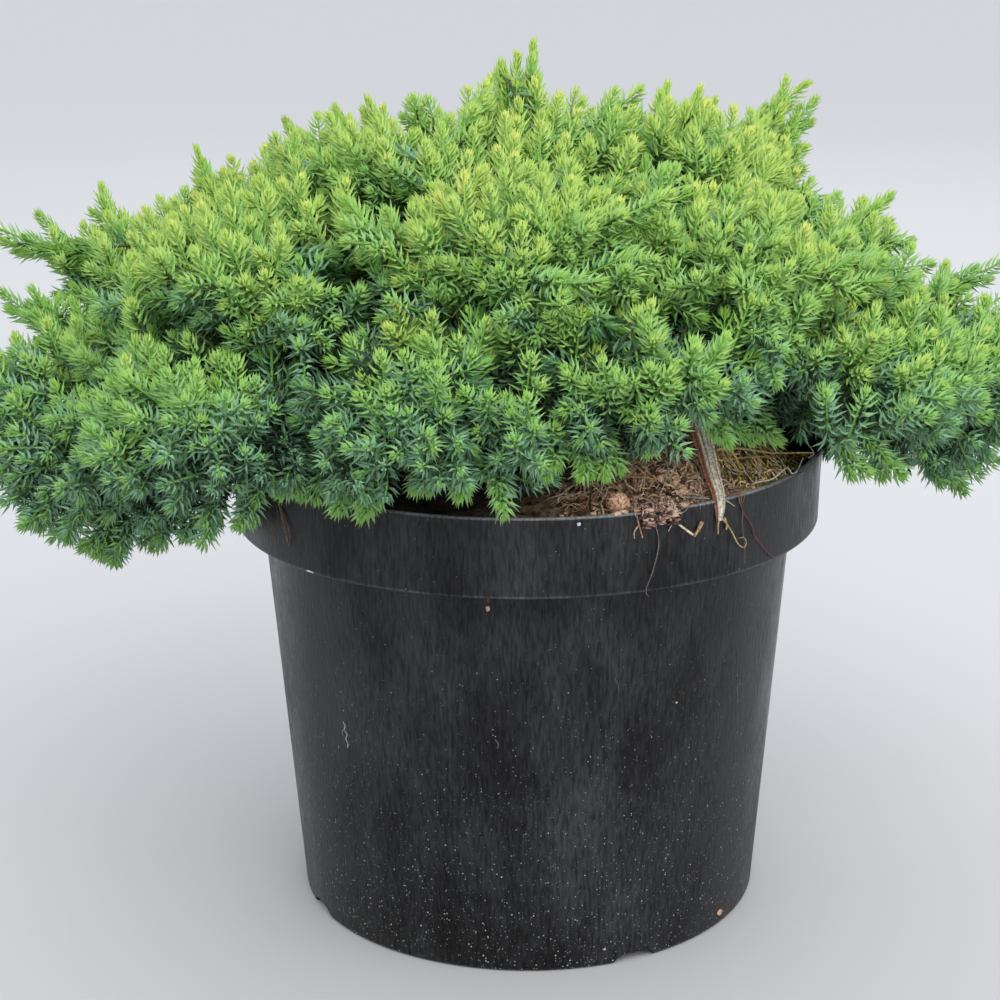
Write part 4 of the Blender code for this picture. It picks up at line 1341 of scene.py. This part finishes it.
def sunk(place):
    """The place, or the nearest one to it that is deep enough in the crown to be hidden."""
    near, normal, _, distance = crown_tree.find_nearest(place)
    depth = distance if (place - near).dot(normal) < 0 else -distance
    place = place - normal * max(0, TWIG_DEPTH - depth)
    for *middle, radius in CLEFTS:
        middle = Vector(middle)
        if (place - middle).length < radius:
            place = middle + (CROWN_MIDDLE - middle).normalized() * radius
    return place


def grow_wood(start, radius, targets):
    """Paths of (point, radius) from the start to every target, forking like a branch."""
    places, parents = [start], [-1]
    for target in sorted(targets, key=lambda spot: (spot - start).length):
        run = np.array([(target - place).length for place in places])
        back = np.array([(place - start).length for place in places])
        near = int(np.argmin(run + TWIG_THRIFT * back))
        count = max(1, round(run[near] / TWIG_STEP))
        origin, behind = places[near], near
        for number in range(1, count + 1):
            stray = Vector(rng.normal(0, TWIG_STRAY, 3)) if number < count else Vector()
            place = origin.lerp(target, number / count) + stray
            places.append(place if number == count else sunk(place))
            parents.append(behind)
            behind = len(places) - 1
    load = np.zeros(len(places))
    is_leaf = np.ones(len(places), dtype=bool)
    is_leaf[[parent for parent in parents if parent >= 0]] = False
    load[is_leaf] = 1
    for index in range(len(places) - 1, 0, -1):
        load[parents[index]] += load[index]
    radii = np.minimum(TWIG_TIP_RADIUS * load ** (1 / PIPE_POWER), radius)
    heavy = {}
    for index in range(1, len(places)):
        parent = parents[index]
        if parent not in heavy or load[index] > load[heavy[parent]]:
            heavy[parent] = index
    paths = []
    for index in range(len(places)):
        if index == 0 or heavy[parents[index]] != index:
            chain = [] if index == 0 else [(places[parents[index]], radii[index])]
            current = index
            while current is not None:
                chain.append((places[current], radii[current]))
                current = heavy.get(current)
            if len(chain) > 1:
                paths.append(chain)
    return paths


# Each shoot's own stalk is olive at its base and green where it is new.
SHOOT_RADII = (0.0008, 0.0007, 0.0004)
stalk_finishes = [material("olive_shoot", "#43592c", 0.7), material("green_shoot", "#6fa63f", 0.6)]
twig_wood = material("olive_twig", "#4b5a31", 0.8)
shares = np.array((0, 0.5, 1))
centres = bases[:, None] + (tips - bases)[:, None] * shares[None, :, None]
centres += bows[:, None] * (4 * shares * (1 - shares))[None, :, None]
first, second = across((tips - bases) / lengths[:, None])
turns = np.arange(SHOOT_SIDES) * math.tau / SHOOT_SIDES
ring = first[:, None] * np.cos(turns)[None, :, None] + second[:, None] * np.sin(turns)[None, :, None]
stalk_points = centres[:, :, None] + ring[:, None] * np.array(SHOOT_RADII)[None, :, None, None]
stalk_faces, stalk_finish = [], []
for level in range(2):
    for side in range(SHOOT_SIDES):
        a, b = level * SHOOT_SIDES + side, level * SHOOT_SIDES + (side + 1) % SHOOT_SIDES
        stalk_faces += [(a, b, b + SHOOT_SIDES), (a, b + SHOOT_SIDES, a + SHOOT_SIDES)]
        stalk_finish += [level, level]
stalk_faces += [(2, 1, 0), (6, 7, 8)]
stalk_finish += [0, 1]

for index, name in enumerate(masses):
    start, radius = limb_ends[name]
    twigs = tubes(name.replace("mass_", "twigs_"), grow_wood(start, radius, spray_bases[name]), 4, twig_wood)
    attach(twigs, "root")
    mine = owner == index
    count = int(mine.sum())
    faces = (np.arange(count) * 3 * SHOOT_SIDES)[:, None, None] + np.array(stalk_faces)[None]
    stalks = joined(
        name.replace("mass_", "shoots_"), stalk_points[mine].reshape(-1, 3), faces.reshape(-1, 3),
        np.tile(stalk_finish, count), stalk_finishes,
    )
    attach(stalks, "root")
